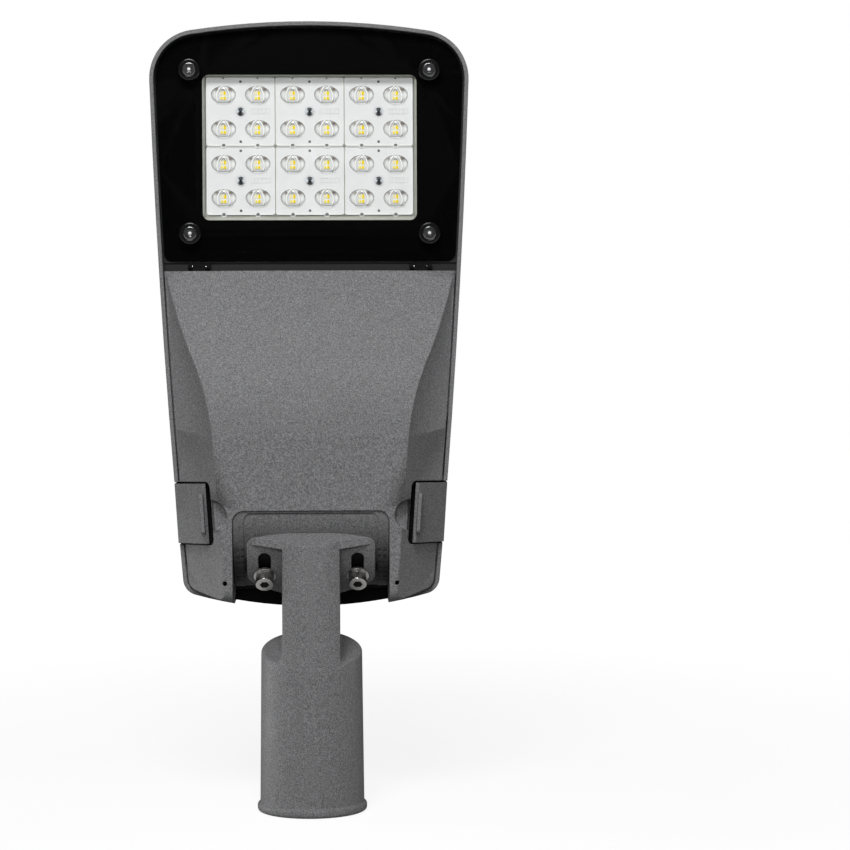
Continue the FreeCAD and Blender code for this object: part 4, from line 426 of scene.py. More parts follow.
def new_repeat_tree(name, sockets):
    """Geometry node tree that copies an object. Sockets gives the kinds of its further inputs by name."""
    tree = bpy.data.node_groups.new(name, "GeometryNodeTree")
    kinds = {"Geometry": "Geometry", "Piece": "Object", "Finish": "Material", **sockets}
    for label, kind in kinds.items():
        tree.interface.new_socket(label, in_out="INPUT", socket_type="NodeSocket" + kind)
    tree.interface.new_socket("Geometry", in_out="OUTPUT", socket_type="NodeSocketGeometry")
    return tree, tree.nodes.new("NodeGroupInput").outputs


def copies_on(tree, inputs, points, more=()):
    """Realized copies of the piece on points. More holds further inputs of the instances."""
    source = add_node(tree, "GeometryNodeObjectInfo", {"Object": inputs["Piece"]})
    place = add_node(tree, "GeometryNodeInstanceOnPoints", {
        "Points": points, "Instance": source.outputs["Geometry"], **dict(more)})
    plain = add_node(tree, "GeometryNodeRealizeInstances", {"Geometry": place.outputs["Instances"]})
    return plain.outputs["Geometry"]


def give_out(tree, inputs, geometry):
    """Set the material and end the tree."""
    coat = add_node(tree, "GeometryNodeSetMaterial", {"Geometry": geometry, "Material": inputs["Finish"]})
    add_node(tree, "NodeGroupOutput", {"Geometry": coat.outputs["Geometry"]})
    return tree


def grid_repeat_tree():
    """Node tree: copies of a piece on a grid of grids in the plane of X and Z."""
    tree, inputs = new_repeat_tree("grid_of_grids", {
        "Columns": "Int", "Rows": "Int", "Inner columns": "Int", "Inner rows": "Int",
        "Width": "Float", "Height": "Float", "Inner width": "Float", "Inner height": "Float",
        "Centre": "Vector"})
    outer = add_node(tree, "GeometryNodeMeshGrid", {
        "Size X": inputs["Width"], "Size Y": inputs["Height"],
        "Vertices X": inputs["Columns"], "Vertices Y": inputs["Rows"]})
    inner = add_node(tree, "GeometryNodeMeshGrid", {
        "Size X": inputs["Inner width"], "Size Y": inputs["Inner height"],
        "Vertices X": inputs["Inner columns"], "Vertices Y": inputs["Inner rows"]})
    nest = add_node(tree, "GeometryNodeInstanceOnPoints", {
        "Points": outer.outputs["Mesh"], "Instance": inner.outputs["Mesh"]})
    flat = add_node(tree, "GeometryNodeRealizeInstances", {"Geometry": nest.outputs["Instances"]})
    upright = add_node(tree, "GeometryNodeTransform", {
        "Geometry": flat.outputs["Geometry"], "Translation": inputs["Centre"],
        "Rotation": (math.radians(90), 0.0, 0.0)})
    return give_out(tree, inputs, copies_on(tree, inputs, upright.outputs["Geometry"]))


def on_modules(name, shape, material, per_lens=True):
    """Copies of a mesh or bmesh on every lens, or on every lens module, as one piece of the head."""
    optics = bpy.context.scene.lamp_optics
    tree = bpy.data.node_groups.get("grid_of_grids") or grid_repeat_tree()
    mesh = mesh_from(name, shape) if isinstance(shape, bmesh.types.BMesh) else shape
    prototype = hidden_prototype(name, mesh)
    piece = baked(name, tree, {
        "Piece": prototype,
        "Finish": material,
        "Columns": 3,
        "Rows": 2,
        "Inner columns": 2 if per_lens else 1,
        "Inner rows": 2 if per_lens else 1,
        "Width": 2 * optics.module_pitch,
        "Height": optics.module_pitch,
        "Inner width": optics.lens_pitch,
        "Inner height": optics.lens_pitch,
        "Centre": (0.0, 0.0, optics.centre_height),
    })
    bpy.data.objects.remove(prototype)
    return finish_piece(piece, "head")


def arc_repeat_tree():
    """Node tree: copies of a piece turned step by step round an axis along X."""
    tree, inputs = new_repeat_tree("round_an_axis", {
        "Count": "Int", "First angle": "Float", "Step angle": "Float", "Axis": "Vector"})
    line = add_node(tree, "GeometryNodeMeshLine", {"Offset": (0.0, 0.0, 0.0), "Count": inputs["Count"]})
    number = tree.nodes.new("GeometryNodeInputIndex")
    turned = add_node(tree, "ShaderNodeMath", {
        0: number.outputs["Index"], 1: inputs["Step angle"], 2: inputs["First angle"]}, "MULTIPLY_ADD")
    turn = add_node(tree, "ShaderNodeCombineXYZ", {"X": turned.outputs["Value"]})
    copies = copies_on(tree, inputs, line.outputs["Mesh"], {"Rotation": turn.outputs["Vector"]})
    moved = add_node(tree, "GeometryNodeTransform", {"Geometry": copies, "Translation": inputs["Axis"]})
    return give_out(tree, inputs, moved.outputs["Geometry"])


# Finishes


def powder_coat(name, crease, shade=None):
    """Fine textured grey powder coat with softened edges.

    A shade paints shade on it, darker towards the bottom between two heights: its share at the bottom and the
    top, then both heights.
    """
    finish = bpy.context.scene.lamp_finish
    material, tree, shader = new_finish(name)
    mean = tuple(finish.coat_colour)
    contrast = finish.coat_contrast
    roughness = finish.coat_roughness
    grains = noise(tree, finish.grain, detail=3.0, roughness=0.6)
    colour = ramp(tree, grains, [
        (0.32, scaled(mean, 1.0 - contrast)),
        (0.50, mean),
        (0.68, scaled(mean, 1.0 + 1.3 * contrast)),
    ])
    if shade is not None:
        low, high, bottom, top = shade
        place = tree.nodes.new("ShaderNodeTexCoord")
        parts = add_node(tree, "ShaderNodeSeparateXYZ", {"Vector": place.outputs["Object"]})
        light = spread(tree, parts.outputs["Z"], low, high, bottom, top)
        dimmed = add_node(tree, "ShaderNodeVectorMath", {0: colour, "Scale": light}, "SCALE")
        colour = dimmed.outputs["Vector"]
    set_inputs(tree, shader, {
        "Base Color": colour,
        "Roughness": spread(tree, noise(tree, 14 * MM), roughness - 0.05, roughness + 0.05),
        "Specular IOR Level": 0.15,
        "Normal": bump(tree, grains, 0.12 * MM, softened(tree, crease)),
    })
    return material


def steel(name, colour, roughness):
    """Stainless or zinc plated metal with a satin surface."""
    material, tree, shader = new_finish(name)
    broad = noise(tree, 7 * MM, detail=1.0)
    set_inputs(tree, shader, {
        "Metallic": 1.0,
        "Base Color": ramp(tree, broad, [(0.3, scaled(colour, 0.93)), (0.7, scaled(colour, 1.04))]),
        "Roughness": spread(tree, broad, roughness - 0.03, roughness + 0.03),
        "Normal": softened(tree, 0.25 * MM),
    })
    return material


def moulding(name, colour, roughness, depth=0.03 * MM, edge=0.4 * MM, specular=0.5, variation=0.08):
    """Moulded plastic or rubber with a fine surface."""
    material, tree, shader = new_finish(name)
    fine = noise(tree, 0.8 * MM)
    broad = noise(tree, 9 * MM, detail=1.0)
    stops = [(0.3, scaled(colour, 1.0 - variation)), (0.7, scaled(colour, 1.0 + variation))]
    set_inputs(tree, shader, {
        "Specular IOR Level": specular,
        "Base Color": ramp(tree, broad, stops),
        "Roughness": spread(tree, fine, roughness - 0.04, roughness + 0.04),
        "Normal": bump(tree, fine, depth, softened(tree, edge)),
    })
    return material


def see_through(name, tint, ior, roughness):
    """Clear sheet or dome: straight through, with a mirror gloss on top that grows towards the edge."""
    material, tree = blank_material(name)
    through = add_node(tree, "ShaderNodeBsdfTransparent", {"Color": (*tint, 1.0)})
    mirror = add_node(tree, "ShaderNodeBsdfGlossy", {
        "Color": (1.0, 1.0, 1.0, 1.0),
        "Roughness": spread(tree, noise(tree, 30 * MM), roughness, 2 * roughness)})
    share = add_node(tree, "ShaderNodeFresnel", {"IOR": ior})
    blend = add_node(tree, "ShaderNodeMixShader", {
        "Fac": share.outputs["Fac"], 1: through.outputs["BSDF"], 2: mirror.outputs["BSDF"]})
    add_node(tree, "ShaderNodeOutputMaterial", {"Surface": blend.outputs["Shader"]})
    return material


def toned(name, roughness, metallic=0.0):
    """Finish whose colour comes from the piece's colour attribute, which holds painted reflections and
    painted shade.
    """
    material, tree, shader = new_finish(name)
    shade = tree.nodes.new("ShaderNodeAttribute")
    shade.attribute_name = "tone"
    fine = noise(tree, 2 * MM, detail=1.0)
    set_inputs(tree, shader, {
        "Metallic": metallic,
        "Base Color": shade.outputs["Color"],
        "Roughness": spread(tree, fine, roughness - 0.03, roughness + 0.03),
    })
    return material


# Pieces


class LAMP_OT_castings(bpy.types.Operator):
    """Dress the coated castings: housing, gear cover, latches and arm."""

    bl_idname = "lamp.castings"
    bl_label = "Coated castings"

    def execute(self, context):
        coat = powder_coat("powder_coat", 0.9 * MM)
        soft_coat = powder_coat("powder_coat_soft", context.scene.lamp_finish.crease)
        # Painted shade: the coat in the drum recess grows darker towards the bottom.
        painted_shade_coat = powder_coat("powder_coat_painted_shade", 0.9 * MM, shade=(0.16, 0.80, 0.172, 0.214))
        # Painted shadow: near black on the faces below the drum, in the recess under the glass, at the hinges
        # and in the latch pockets.
        shadow = moulding("painted_shadow_coat", (0.006, 0.006, 0.0062), 0.8, specular=0.1)
        drum_recess = ((0.0, 56.2), (-23.5, 60.0), (154.0, 217.5))
        below_drum = ((0.0, 56.2), (20.0, 80.0), (141.0, 160.5))
        glass_recess = ((0.0, 96.0), (-5.0, 45.0), (385.5, 395.0))
        hinge_recess = ((69.0, 91.0), (-5.0, 45.0), (384.5, 395.0))
        welded("housing", "housing_casting", "head", coat, painted_shades=(
            (painted_shade_coat, drum_recess),
            (shadow, below_drum),
            (shadow, glass_recess),
            (shadow, in_latch_pocket)))
        welded("gear_cover", "gear_cover_casting", "cover", soft_coat, painted_shades=(
            (shadow, hinge_recess), (shadow, in_latch_pocket)))
        welded("spigot_arm", "spigot_arm_casting", "spigot", soft_coat)
        welded("latch_left", "latch_left_plate", "left_latch", coat)
        welded("latch_right", "latch_right_plate", "right_latch", coat)
        return {"FINISHED"}


class LAMP_OT_scale(bpy.types.Operator):
    """Add the tilt scale on the drum, with its numbers dark as painted shade, and the dark strips of painted
    shade behind the slots.
    """

    bl_idname = "lamp.scale"
    bl_label = "Tilt scale"

    MARKS = (15, 10, 5, 0, 5, 10, 15)

    def execute(self, context):
        sizes = context.scene.lamp_scale
        # One dark finish for the tick marks and for the painted shade of the numbers and of the slot strips.
        dark = moulding("dark_marks_and_painted_shade", (0.006, 0.006, 0.0062), 0.6, specular=0.2)
        self.add_ticks(sizes, dark)
        self.add_numbers(sizes, dark)
        self.add_slot_strips(sizes, dark)
        return {"FINISHED"}

    def add_ticks(self, sizes, material):
        """Short dark teeth at the inner edge of both strips."""
        builder = bmesh.new()
        inner, outer, half = 47.7 * MM, 49.7 * MM, 0.45 * MM
        low = -sizes.frame_radius - 0.12 * MM
        for side in (-1, 1):
            across = sorted((side * inner, side * outer))
            block(builder, (across[0], low, -half), (across[1], low + 0.3 * MM, half))
        prototype = hidden_prototype("scale_ticks", mesh_from("scale_tick", builder))
        count = len(self.MARKS)
        ticks = baked("scale_ticks", arc_repeat_tree(), {
            "Piece": prototype,
            "Finish": material,
            "Count": count,
            "First angle": sizes.zero_angle - sizes.mark_pitch * (count // 2),
            "Step angle": sizes.mark_pitch,
            "Axis": (0.0, sizes.axis_depth, sizes.axis_height),
        })
        bpy.data.objects.remove(prototype)
        finish_piece(ticks, "head")

    def add_numbers(self, sizes, material):
        """Numbers that read downwards on both strips, bent on to the strips' radius. Their dark colour is
        painted shade: the real digits are raised in the casting's own grey.
        """
        builder = bmesh.new()
        for number, mark in enumerate(self.MARKS):
            angle = sizes.zero_angle + sizes.mark_pitch * (number - len(self.MARKS) // 2)
            curve = bpy.data.curves.new("number", "FONT")
            curve.body = str(mark)
            curve.size = sizes.digit_height / 0.72
            curve.align_x = "CENTER"
            curve.align_y = "CENTER"
            curve.extrude = 0.08 * MM
            curve.resolution_u = 2
            writer = add_object("number", curve)
            graph = bpy.context.evaluated_depsgraph_get()
            flat = bpy.data.meshes.new_from_object(writer.evaluated_get(graph), depsgraph=graph)
            for middle in (-52.4 * MM, 52.4 * MM):
                points = []
                for vertex in flat.vertices:
                    turn = angle + 0.82 * vertex.co.x / sizes.frame_radius
                    radius = sizes.frame_radius + vertex.co.z + 0.02 * MM
                    points.append(builder.verts.new((
                        middle + vertex.co.y,
                        sizes.axis_depth - radius * math.cos(turn),
                        sizes.axis_height - radius * math.sin(turn))))
                for face in flat.polygons:
                    builder.faces.new([points[index] for index in face.vertices])
            bpy.data.objects.remove(writer)
            bpy.data.meshes.remove(flat)
        bmesh.ops.remove_doubles(builder, verts=builder.verts, dist=0.002 * MM)
        add_piece("scale_numbers", builder, "head", material)

    @staticmethod
    def add_slot_strips(sizes, material):
        """Dark strips on the drum where the flange's slots show it: painted shade of the slots."""
        builder = bmesh.new()
        first, last, steps = math.radians(16), math.radians(72), 14
        for side in (-1, 1):
            rings = []
            for step in range(steps + 1):
                turn = first + (last - first) * step / steps
                ring = []
                for across, rise in ((-1, 0.0), (1, 0.0), (1, 0.22 * MM), (-1, 0.22 * MM)):
                    radius = sizes.drum_radius + rise
                    ring.append(builder.verts.new((
                        side * sizes.slot_offset + across * sizes.slot_width / 2,
                        sizes.axis_depth - radius * math.cos(turn),
                        sizes.axis_height - radius * math.sin(turn))))
                rings.append(ring)
            skin(builder, rings)
        add_piece("slot_strips", builder, "head", material)


class LAMP_OT_glazing(bpy.types.Operator):
    """Dress the glass, the black mask, the seals and the grommets."""

    bl_idname = "lamp.glazing"
    bl_label = "Glass and seals"

    def execute(self, context):
        paint("glass_panel", see_through("clear_glass", (0.985, 0.99, 0.985), 1.14, 0.015))
        paint("mask_frame", moulding("black_mask", (0.0012, 0.0012, 0.0013), 0.5, specular=0.03))
        rubber = moulding("black_rubber", (0.010, 0.010, 0.0105), 0.62, depth=0.05 * MM)
        for node in ("glass_gasket", "cover_gasket", "lead_grommet"):
            paint(node, rubber)
        welded("glass_grommets", "grommets", "head",
               moulding("grommet_rubber", (0.003, 0.003, 0.0032), 0.22, edge=0.6 * MM))
        return {"FINISHED"}


class LAMP_OT_fasteners(bpy.types.Operator):
    """Dress the screws, bolts, washers, nuts and pins."""

    bl_idname = "lamp.fasteners"
    bl_label = "Fasteners"

    def execute(self, context):
        stainless = steel("stainless_steel", (0.62, 0.61, 0.59), 0.24)
        zinc = toned("zinc_with_painted_reflections", 0.30, metallic=0.35)
        dark = steel("blackened_screw", (0.34, 0.34, 0.35), 0.20)
        welded("tilt_bolts", "tilt_bolt_set", "head", stainless)
        welded("tilt_washers", "tilt_washer_set", "head", stainless)
        welded("clamp_screws", "clamp_screw_set", "spigot", stainless)
        welded("clamp_nuts", "clamp_nut_set", "spigot", stainless)
        welded("glass_screws", "glass_screw_set", "head", dark)
        self.add_screw_pins()
        self.add_module_screws(zinc)
        self.add_bolt_sockets(context.scene.lamp_scale)
        for node in ("cover_hinge_pins", "latch_pins", "driver_screws"):
            paint(node, stainless)
        return {"FINISHED"}

    @staticmethod
    def add_screw_pins():
        """Pins in the middle of the four glass screws, pale grey as a painted highlight."""
        screws = NODES["glass_screws"].data
        corners = {}
        for vertex in screws.vertices:
            corner = (vertex.co.x > 0.0, vertex.co.z > bpy.context.scene.lamp_optics.centre_height)
            corners.setdefault(corner, []).append(vertex.co)
        builder = bmesh.new()
        count, radius, rise = 16, 1.3 * MM, 0.9 * MM
        for places in corners.values():
            across = (min(place.x for place in places) + max(place.x for place in places)) / 2
            level = (min(place.z for place in places) + max(place.z for place in places)) / 2
            face = min(place.y for place in places)
            rings = []
            for reach, depth in ((1.0, -0.3), (1.0, 0.2), (0.8, 0.7), (0.4, 1.0)):
                rings.append([
                    builder.verts.new((
                        across + x * reach * radius, face - depth * rise, level + z * reach * radius))
                    for x, z in circle(1.0, count)])
            skin(builder, rings)
        add_piece("glass_screw_pins", builder, "head",
                  moulding("pin_painted_highlight", (0.80, 0.80, 0.80), 0.25))

    @staticmethod
    def add_bolt_sockets(sizes):
        """Dark hexagons on the ends of the two tilt bolts: painted shade of their sockets."""
        bolts = NODES["tilt_bolts"].data
        turn = sizes.bolt_angle
        outwards = Vector((0.0, -math.cos(turn), -math.sin(turn)))
        along = Vector((0.0, -math.sin(turn), math.cos(turn)))
        axis = Vector((0.0, sizes.axis_depth, sizes.axis_height))
        end = max((vertex.co - axis).dot(outwards) for vertex in bolts.vertices)
        builder = bmesh.new()
        corners, half_width = 6, sizes.socket_width / math.sqrt(3)
        for side in (-1, 1):
            rings = []
            for depth in (end - 0.4 * MM, end + 0.06 * MM):
                middle = axis + outwards * depth + Vector((side * sizes.slot_offset, 0.0, 0.0))
                rings.append([
                    builder.verts.new(
                        middle + Vector((across * half_width, 0.0, 0.0)) + along * up * half_width)
                    for across, up in circle(1.0, corners)])
            skin(builder, rings)
        add_piece("bolt_sockets", builder, "head",
                  moulding("socket_shadow", (0.004, 0.004, 0.004), 0.6, specular=0.2))

    @staticmethod
    def add_module_screws(zinc):
        """Round heads in the middle of the lens modules, with painted reflections in their colour attribute,
        and a dark cross that stands for the shade in the cross recess.
        """
        builder = bmesh.new()
        optics = bpy.context.scene.lamp_optics
        rise, radius, count = 2.3, 3.1, 24
        rings = []
        for share in (0.0, 0.25, 0.5, 0.75, 0.92):
            reach = radius * math.cos(share * math.pi / 2)
            depth = optics.plate_front - rise * math.sin(share * math.pi / 2) * MM
            rings.append([
                builder.verts.new((across * MM, depth, up * MM)) for across, up in circle(reach, count)])
        rings.insert(0, [
            builder.verts.new((across * MM, optics.plate_front + 0.3 * MM, up * MM))
            for across, up in circle(radius, count)])
        skin(builder, rings)
        mesh = mesh_from("module_screw_heads", builder)
        mesh.shade_smooth()
        mesh.set_sharp_from_angle(angle=math.radians(50))
        tone = mesh.color_attributes.new("tone", "FLOAT_COLOR", "POINT")
        # Painted reflections: light at the left and right, dark at the top and bottom, and a grey rim.
        for vertex, shade in zip(mesh.vertices, tone.data):
            lean = abs(vertex.co.x) / max(math.hypot(vertex.co.x, vertex.co.z), 0.1 * MM)
            grey = 0.06 + 0.90 * min(1.0, 1.1 * lean) ** 4
            if math.hypot(vertex.co.x, vertex.co.z) > 3.05 * MM:
                grey = 0.22
            shade.color = (0.92 * grey, 0.97 * grey, min(1.0, 1.05 * grey), 1.0)
        heads = on_modules("module_screw_heads", mesh, zinc, per_lens=False)
        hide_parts("module_screws")
        # Painted shade: a dark cross standing just proud of the head stands for the hollow of the cross
        # recess.
        builder = bmesh.new()
        crest = optics.plate_front - (rise + 0.05) * MM
        recess = [(-0.45, 1.7), (0.45, 1.7), (0.45, 0.45), (1.7, 0.45), (1.7, -0.45), (0.45, -0.45),
                  (0.45, -1.7), (-0.45, -1.7), (-0.45, -0.45), (-1.7, -0.45), (-1.7, 0.45), (-0.45, 0.45)]
        turned = [((x + z) * 0.707, (z - x) * 0.707) for x, z in recess]
        slab(builder, turned, crest, crest + 0.8 * MM)
        on_modules("module_screw_recesses", builder,
                   steel("recess_shadow", (0.03, 0.045, 0.06), 0.3), per_lens=False)


class LAMP_OT_light_unit(bpy.types.Operator):
    """Build the lens plates, the lenses and the LED chips, and dress the tray."""

    bl_idname = "lamp.light_unit"
    bl_label = "Light unit"

    def execute(self, context):
        optics = context.scene.lamp_optics
        paint("module_tray", moulding("tray_white", (0.40, 0.405, 0.36), 0.42, edge=1.5 * MM))
        paint("led_board", moulding("board_white", (0.62, 0.63, 0.62), 0.5))
        paint("led_packages", moulding("package_white", (0.72, 0.70, 0.62), 0.4))
        self.add_plates(optics)
        self.add_lenses(optics)
        return {"FINISHED"}

    @staticmethod
    def add_plates(optics):
        """Lens plates with a raised lip made lighter as a painted highlight, screw rings and moulded frames
        made darker as painted shade, dots, and notches drawn as dark painted shade.
        """
        half = optics.module_size / MM / 2
        front = optics.plate_front
        plate = moulding("lens_plate", (0.80, 0.80, 0.815), 0.36, edge=0.5 * MM, variation=0.02)
        builder = bmesh.new()
        slab(builder, rounded(half - 0.7, half - 0.7, 1.5), front, optics.plate_back)
        plates = on_modules("lens_plates", builder, plate, per_lens=False)
        # Painted highlight: the lip is the plate's plastic, made lighter along its ridge.
        builder = bmesh.new()
        frame_slab(builder, rounded(half, half, 2.0), rounded(half - 0.7, half - 0.7, 1.5),
                   front - 0.35 * MM, optics.plate_back)
        on_modules("plate_lips", builder,
                   moulding("plate_painted_highlight_lip", (0.90, 0.90, 0.91), 0.36, variation=0.02), per_lens=False)
        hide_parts(*("lens_module_" + str(number) for number in range(1, 7)))
        # Painted shade: the raised rings and frames are the plate's plastic, made darker.
        builder = bmesh.new()
        frame_slab(builder, circle(4.1, 28), circle(3.75, 28), front - 0.12 * MM, front + 0.1 * MM)
        outer = [(7.4, -1.6), (21.4, -1.6), (21.4, 2.2), (7.4, 2.2)]
        inner = [(7.7, -1.3), (21.1, -1.3), (21.1, 1.9), (7.7, 1.9)]
        frame_slab(builder, outer, inner, front - 0.20 * MM, front + 0.1 * MM)
        for across in (9.6, 12.4, 15.2, 18.0):
            slab(builder, [(across, -1.0), (across + 0.3, -1.0), (across + 0.3, 1.6), (across, 1.6)],
                 front - 0.20 * MM, front + 0.1 * MM)
        on_modules("plate_mouldings", builder,
                   moulding("plate_painted_shade_moulding", (0.68, 0.68, 0.69), 0.4, variation=0.02), per_lens=False)
        builder = bmesh.new()
        for up in (-21.7, 21.7):
            slab(builder, circle(1.0, 14, 0.0, up), front - 0.05 * MM, front + 0.2 * MM)
        # Painted shade: dark half discs stand for the hollows of the notches.
        for across in (-12.35, 12.35):
            lower = [point for point in circle(1.35, 24, across, -half + 0.1) if point[1] >= -half + 0.09]
            slab(builder, lower, front - 0.5 * MM, front + 0.2 * MM)
            peak = [(across - 0.9, half - 0.2), (across, half - 1.5), (across + 0.9, half - 0.2)]
            slab(builder, peak, front - 0.5 * MM, front + 0.2 * MM)
        on_modules("plate_dots", builder,
                   moulding("marks_and_painted_notch_shade", (0.13, 0.13, 0.135), 0.5), per_lens=False)
        builder = bmesh.new()
        for across in (-12.35, 12.35):
            ribbon(builder, [(across - 1.7, -half - 0.1), (across - 1.2, -half - 0.9), (across, -half - 1.25),
                             (across + 1.2, -half - 0.9), (across + 1.7, -half - 0.1)], 0.7,
                   front - 0.6 * MM, front + 0.2 * MM)
        on_modules("plate_crescents", builder,
                   moulding("crescent_white", (0.88, 0.88, 0.88), 0.3), per_lens=False)

    def add_lenses(self, optics):
        """Lens bowls with painted reflections and painted shade, bright arcs as painted highlights of the
        refraction, the LED chips and the clear domes.
        """
        bowl_front = optics.plate_front - 1.2 * MM
        on_modules("lens_bowls", self.bowl_mesh(optics, bowl_front), toned("lens_painted_reflection", 0.25))
        # Painted highlights: white arcs stand for the bright edges that the lens's refraction shows.
        white = moulding("lens_painted_highlight_white", (0.96, 0.96, 0.96), 0.2, variation=0.01)
        arc_front = bowl_front - 0.5 * MM
        builder = bmesh.new()
        ribbon(builder, [(-0.7, 6.0), (-2.6, 4.3), (-4.2, 1.6), (-4.75, -1.2), (-4.6, -3.6), (-3.9, -5.6)],
               0.95, arc_front, bowl_front + 0.2 * MM)
        ribbon(builder, [(0.9, 5.9), (2.4, 4.4), (3.7, 2.0), (4.5, -0.8), (4.5, -3.0), (3.5, -5.6)],
               0.85, arc_front, bowl_front + 0.2 * MM)
        ribbon(builder, [(5.4, -5.2), (6.2, -3.4)], 0.55, arc_front, bowl_front + 0.2 * MM)
        on_modules("lens_arcs", builder, white)
        builder = bmesh.new()
        ribbon(builder, [(-1.7, 2.1), (-0.2, 3.9), (1.4, 2.1)], 0.75, arc_front, bowl_front + 0.2 * MM)
        on_modules("lens_chevrons", builder,
                   moulding("chevron_grey", (0.36, 0.35, 0.35), 0.3))
        chips = (
            ("led_chips_pale", (0.93, 0.84, 0.52), [(-1.35, 1.0, 0.85, 1.35)]),
            ("led_chips_mid", (0.97, 0.79, 0.10), [(-1.2, -2.9, 0.75, 1.05)]),
            ("led_chips_full", (0.98, 0.75, 0.0), [(0.95, 0.8, 0.85, 1.45), (0.95, -2.8, 0.85, 1.15)]),
        )
        for name, colour, places in chips:
            builder = bmesh.new()
            for across, up, half_across, half_up in places:
                outline = [(across + x, up + z) for x, z in rounded(half_across, half_up, 0.4, steps=2)]
                slab(builder, outline, bowl_front - 0.25 * MM, bowl_front + 0.2 * MM)
            on_modules(name, builder, moulding(name, colour, 0.35, variation=0.03))
        on_modules("lens_domes", self.dome_mesh(optics),
                   see_through("clear_lens", (1.0, 1.0, 1.0), 1.05, 0.05))

    @staticmethod
    def lens_shade(across, up):
        """Painted reflections and painted shade inside a lens: the grey at a place in mm from its middle,
        light at the sides, darker at the rim and in two patches near the top.
        """

        def bell(at_across, at_up, wide, high):
            return math.exp(-((across - at_across) / wide) ** 2 - ((up - at_up) / high) ** 2)

        reach = math.hypot(across / 8.75, up / 6.25)
        grey = 0.66 + 0.32 * bell(7.0, -0.9, 1.7, 3.0) + 0.18 * bell(-6.3, -0.5, 0.8, 3.0)
        grey += 0.20 * bell(0.0, -1.0, 3.2, 4.0)
        grey -= 0.10 * bell(5.7, -1.0, 0.5, 3.5) + 0.07 * bell(-5.4, -1.0, 0.4, 3.0)
        # Painted shade: darker at the rim, more so at the top.
        if reach > 0.86:
            grey -= (0.34 if up > 0.5 else 0.12) * (reach - 0.86) / 0.14
        # Painted shade: two dark patches near the top.
        dark = min(1.0, 1.15 * (bell(-4.5, 3.7, 2.2, 1.5) + bell(4.9, 3.7, 2.5, 1.6)))
        shade = [grey + dark * (under - grey) for under in (0.17, 0.145, 0.13)]
        return (*[min(0.95, max(0.02, amount)) for amount in shade], 1.0)

    def bowl_mesh(self, optics, front):
        """Low oval body of a lens, with painted reflections and painted shade in a colour attribute."""
        rings, count = 14, 56
        half_across = optics.lens_length / 2 / MM
        half_up = optics.lens_width / 2 / MM
        builder = bmesh.new()
        middle = builder.verts.new((0.0, front, 0.0))
        loops = []
        for ring in range(1, rings + 1):
            share = ring / rings
            depth = front + (optics.plate_front - front) * share ** 4
            loops.append([
                builder.verts.new((share * across * half_across * MM, depth,
                                   max(share * up * half_up, -0.94 * half_up) * MM))
                for across, up in circle(1.0, count)])
        loops.append([
            builder.verts.new((across * half_across * MM, optics.plate_front + 0.2 * MM,
                               max(up * half_up, -0.94 * half_up) * MM))
            for across, up in circle(1.0, count)])
        skin(builder, loops, middle)
        mesh = mesh_from("lens_bowls", builder)
        mesh.shade_smooth()
        tone = mesh.color_attributes.new("tone", "FLOAT_COLOR", "POINT")
        for vertex, shade in zip(mesh.vertices, tone.data):
            shade.color = self.lens_shade(vertex.co.x / MM, vertex.co.z / MM)
        return mesh

    @staticmethod
    def dome_mesh(optics):
        """Clear oval dome over a lens."""
        rings, count = 6, 32
        builder = bmesh.new()
        top = builder.verts.new((0.0, optics.plate_front - optics.lens_height, 0.0))
        loops = []
        for ring in range(1, rings + 1):
            turn = ring / rings * math.pi / 2
            depth = optics.plate_front - optics.lens_height * math.cos(turn)
            loops.append([
                builder.verts.new((across * math.sin(turn) * optics.lens_length / 2, depth,
                                   up * math.sin(turn) * optics.lens_width / 2))
                for across, up in circle(1.0, count)])
        skin(builder, loops, top)
        mesh = mesh_from("lens_domes", builder)
        mesh.shade_smooth()
        return mesh


class LAMP_OT_gear(bpy.types.Operator):
    """Dress the driver, the surge protector, the terminals, the leads and the gland."""

    bl_idname = "lamp.gear"
    bl_label = "Control gear"

    def execute(self, context):
        paint("led_driver", moulding("driver_case", (0.55, 0.56, 0.57), 0.5))
        paint("surge_protector", moulding("surge_case", (0.60, 0.60, 0.58), 0.45))
        paint("terminal_block", moulding("terminal_case", (0.70, 0.70, 0.68), 0.4))
        paint("led_connector", moulding("connector_white", (0.72, 0.71, 0.66), 0.4))
        black = moulding("black_plastic", (0.015, 0.015, 0.016), 0.45)
        paint("cable_gland", black)
        paint("mains_leads", moulding("mains_sleeve", (0.03, 0.03, 0.032), 0.5))
        paint("led_leads", moulding("led_sleeve", (0.35, 0.02, 0.02), 0.5))
        return {"FINISHED"}


def seen_directly(tree):
    """Light path node, and a value that is 1 for camera and transmitted rays."""
    path = tree.nodes.new("ShaderNodeLightPath")
    either = add_node(tree, "ShaderNodeMath", {
        0: path.outputs["Is Camera Ray"], 1: path.outputs["Is Transmission Ray"]}, "MAXIMUM")
    return path, either.outputs["Value"]


def white_where_seen(tree, lit_shader, near, near_reach, far_reach, gloss_share):
    """Add white to what camera and transmitted rays see, more of it far from the lamp.

    Glossy rays see a part of it.
    """
    path, direct = seen_directly(tree)
    seen = add_node(tree, "ShaderNodeMath", {
        0: path.outputs["Is Glossy Ray"], 1: gloss_share, 2: direct}, "MULTIPLY_ADD")
    place = tree.nodes.new("ShaderNodeTexCoord")
    distance = add_node(tree, "ShaderNodeVectorMath", {0: place.outputs["Object"]}, "LENGTH")
    share = spread(tree, distance.outputs["Value"], near, 1.0, near_reach, far_reach)
    strength = add_node(tree, "ShaderNodeMath", {0: seen.outputs["Value"], 1: share}, "MULTIPLY")
    glow = add_node(tree, "ShaderNodeEmission", {"Strength": strength.outputs["Value"]})
    both = add_node(tree, "ShaderNodeAddShader", {0: lit_shader, 1: glow.outputs["Emission"]})
    return both.outputs["Shader"]


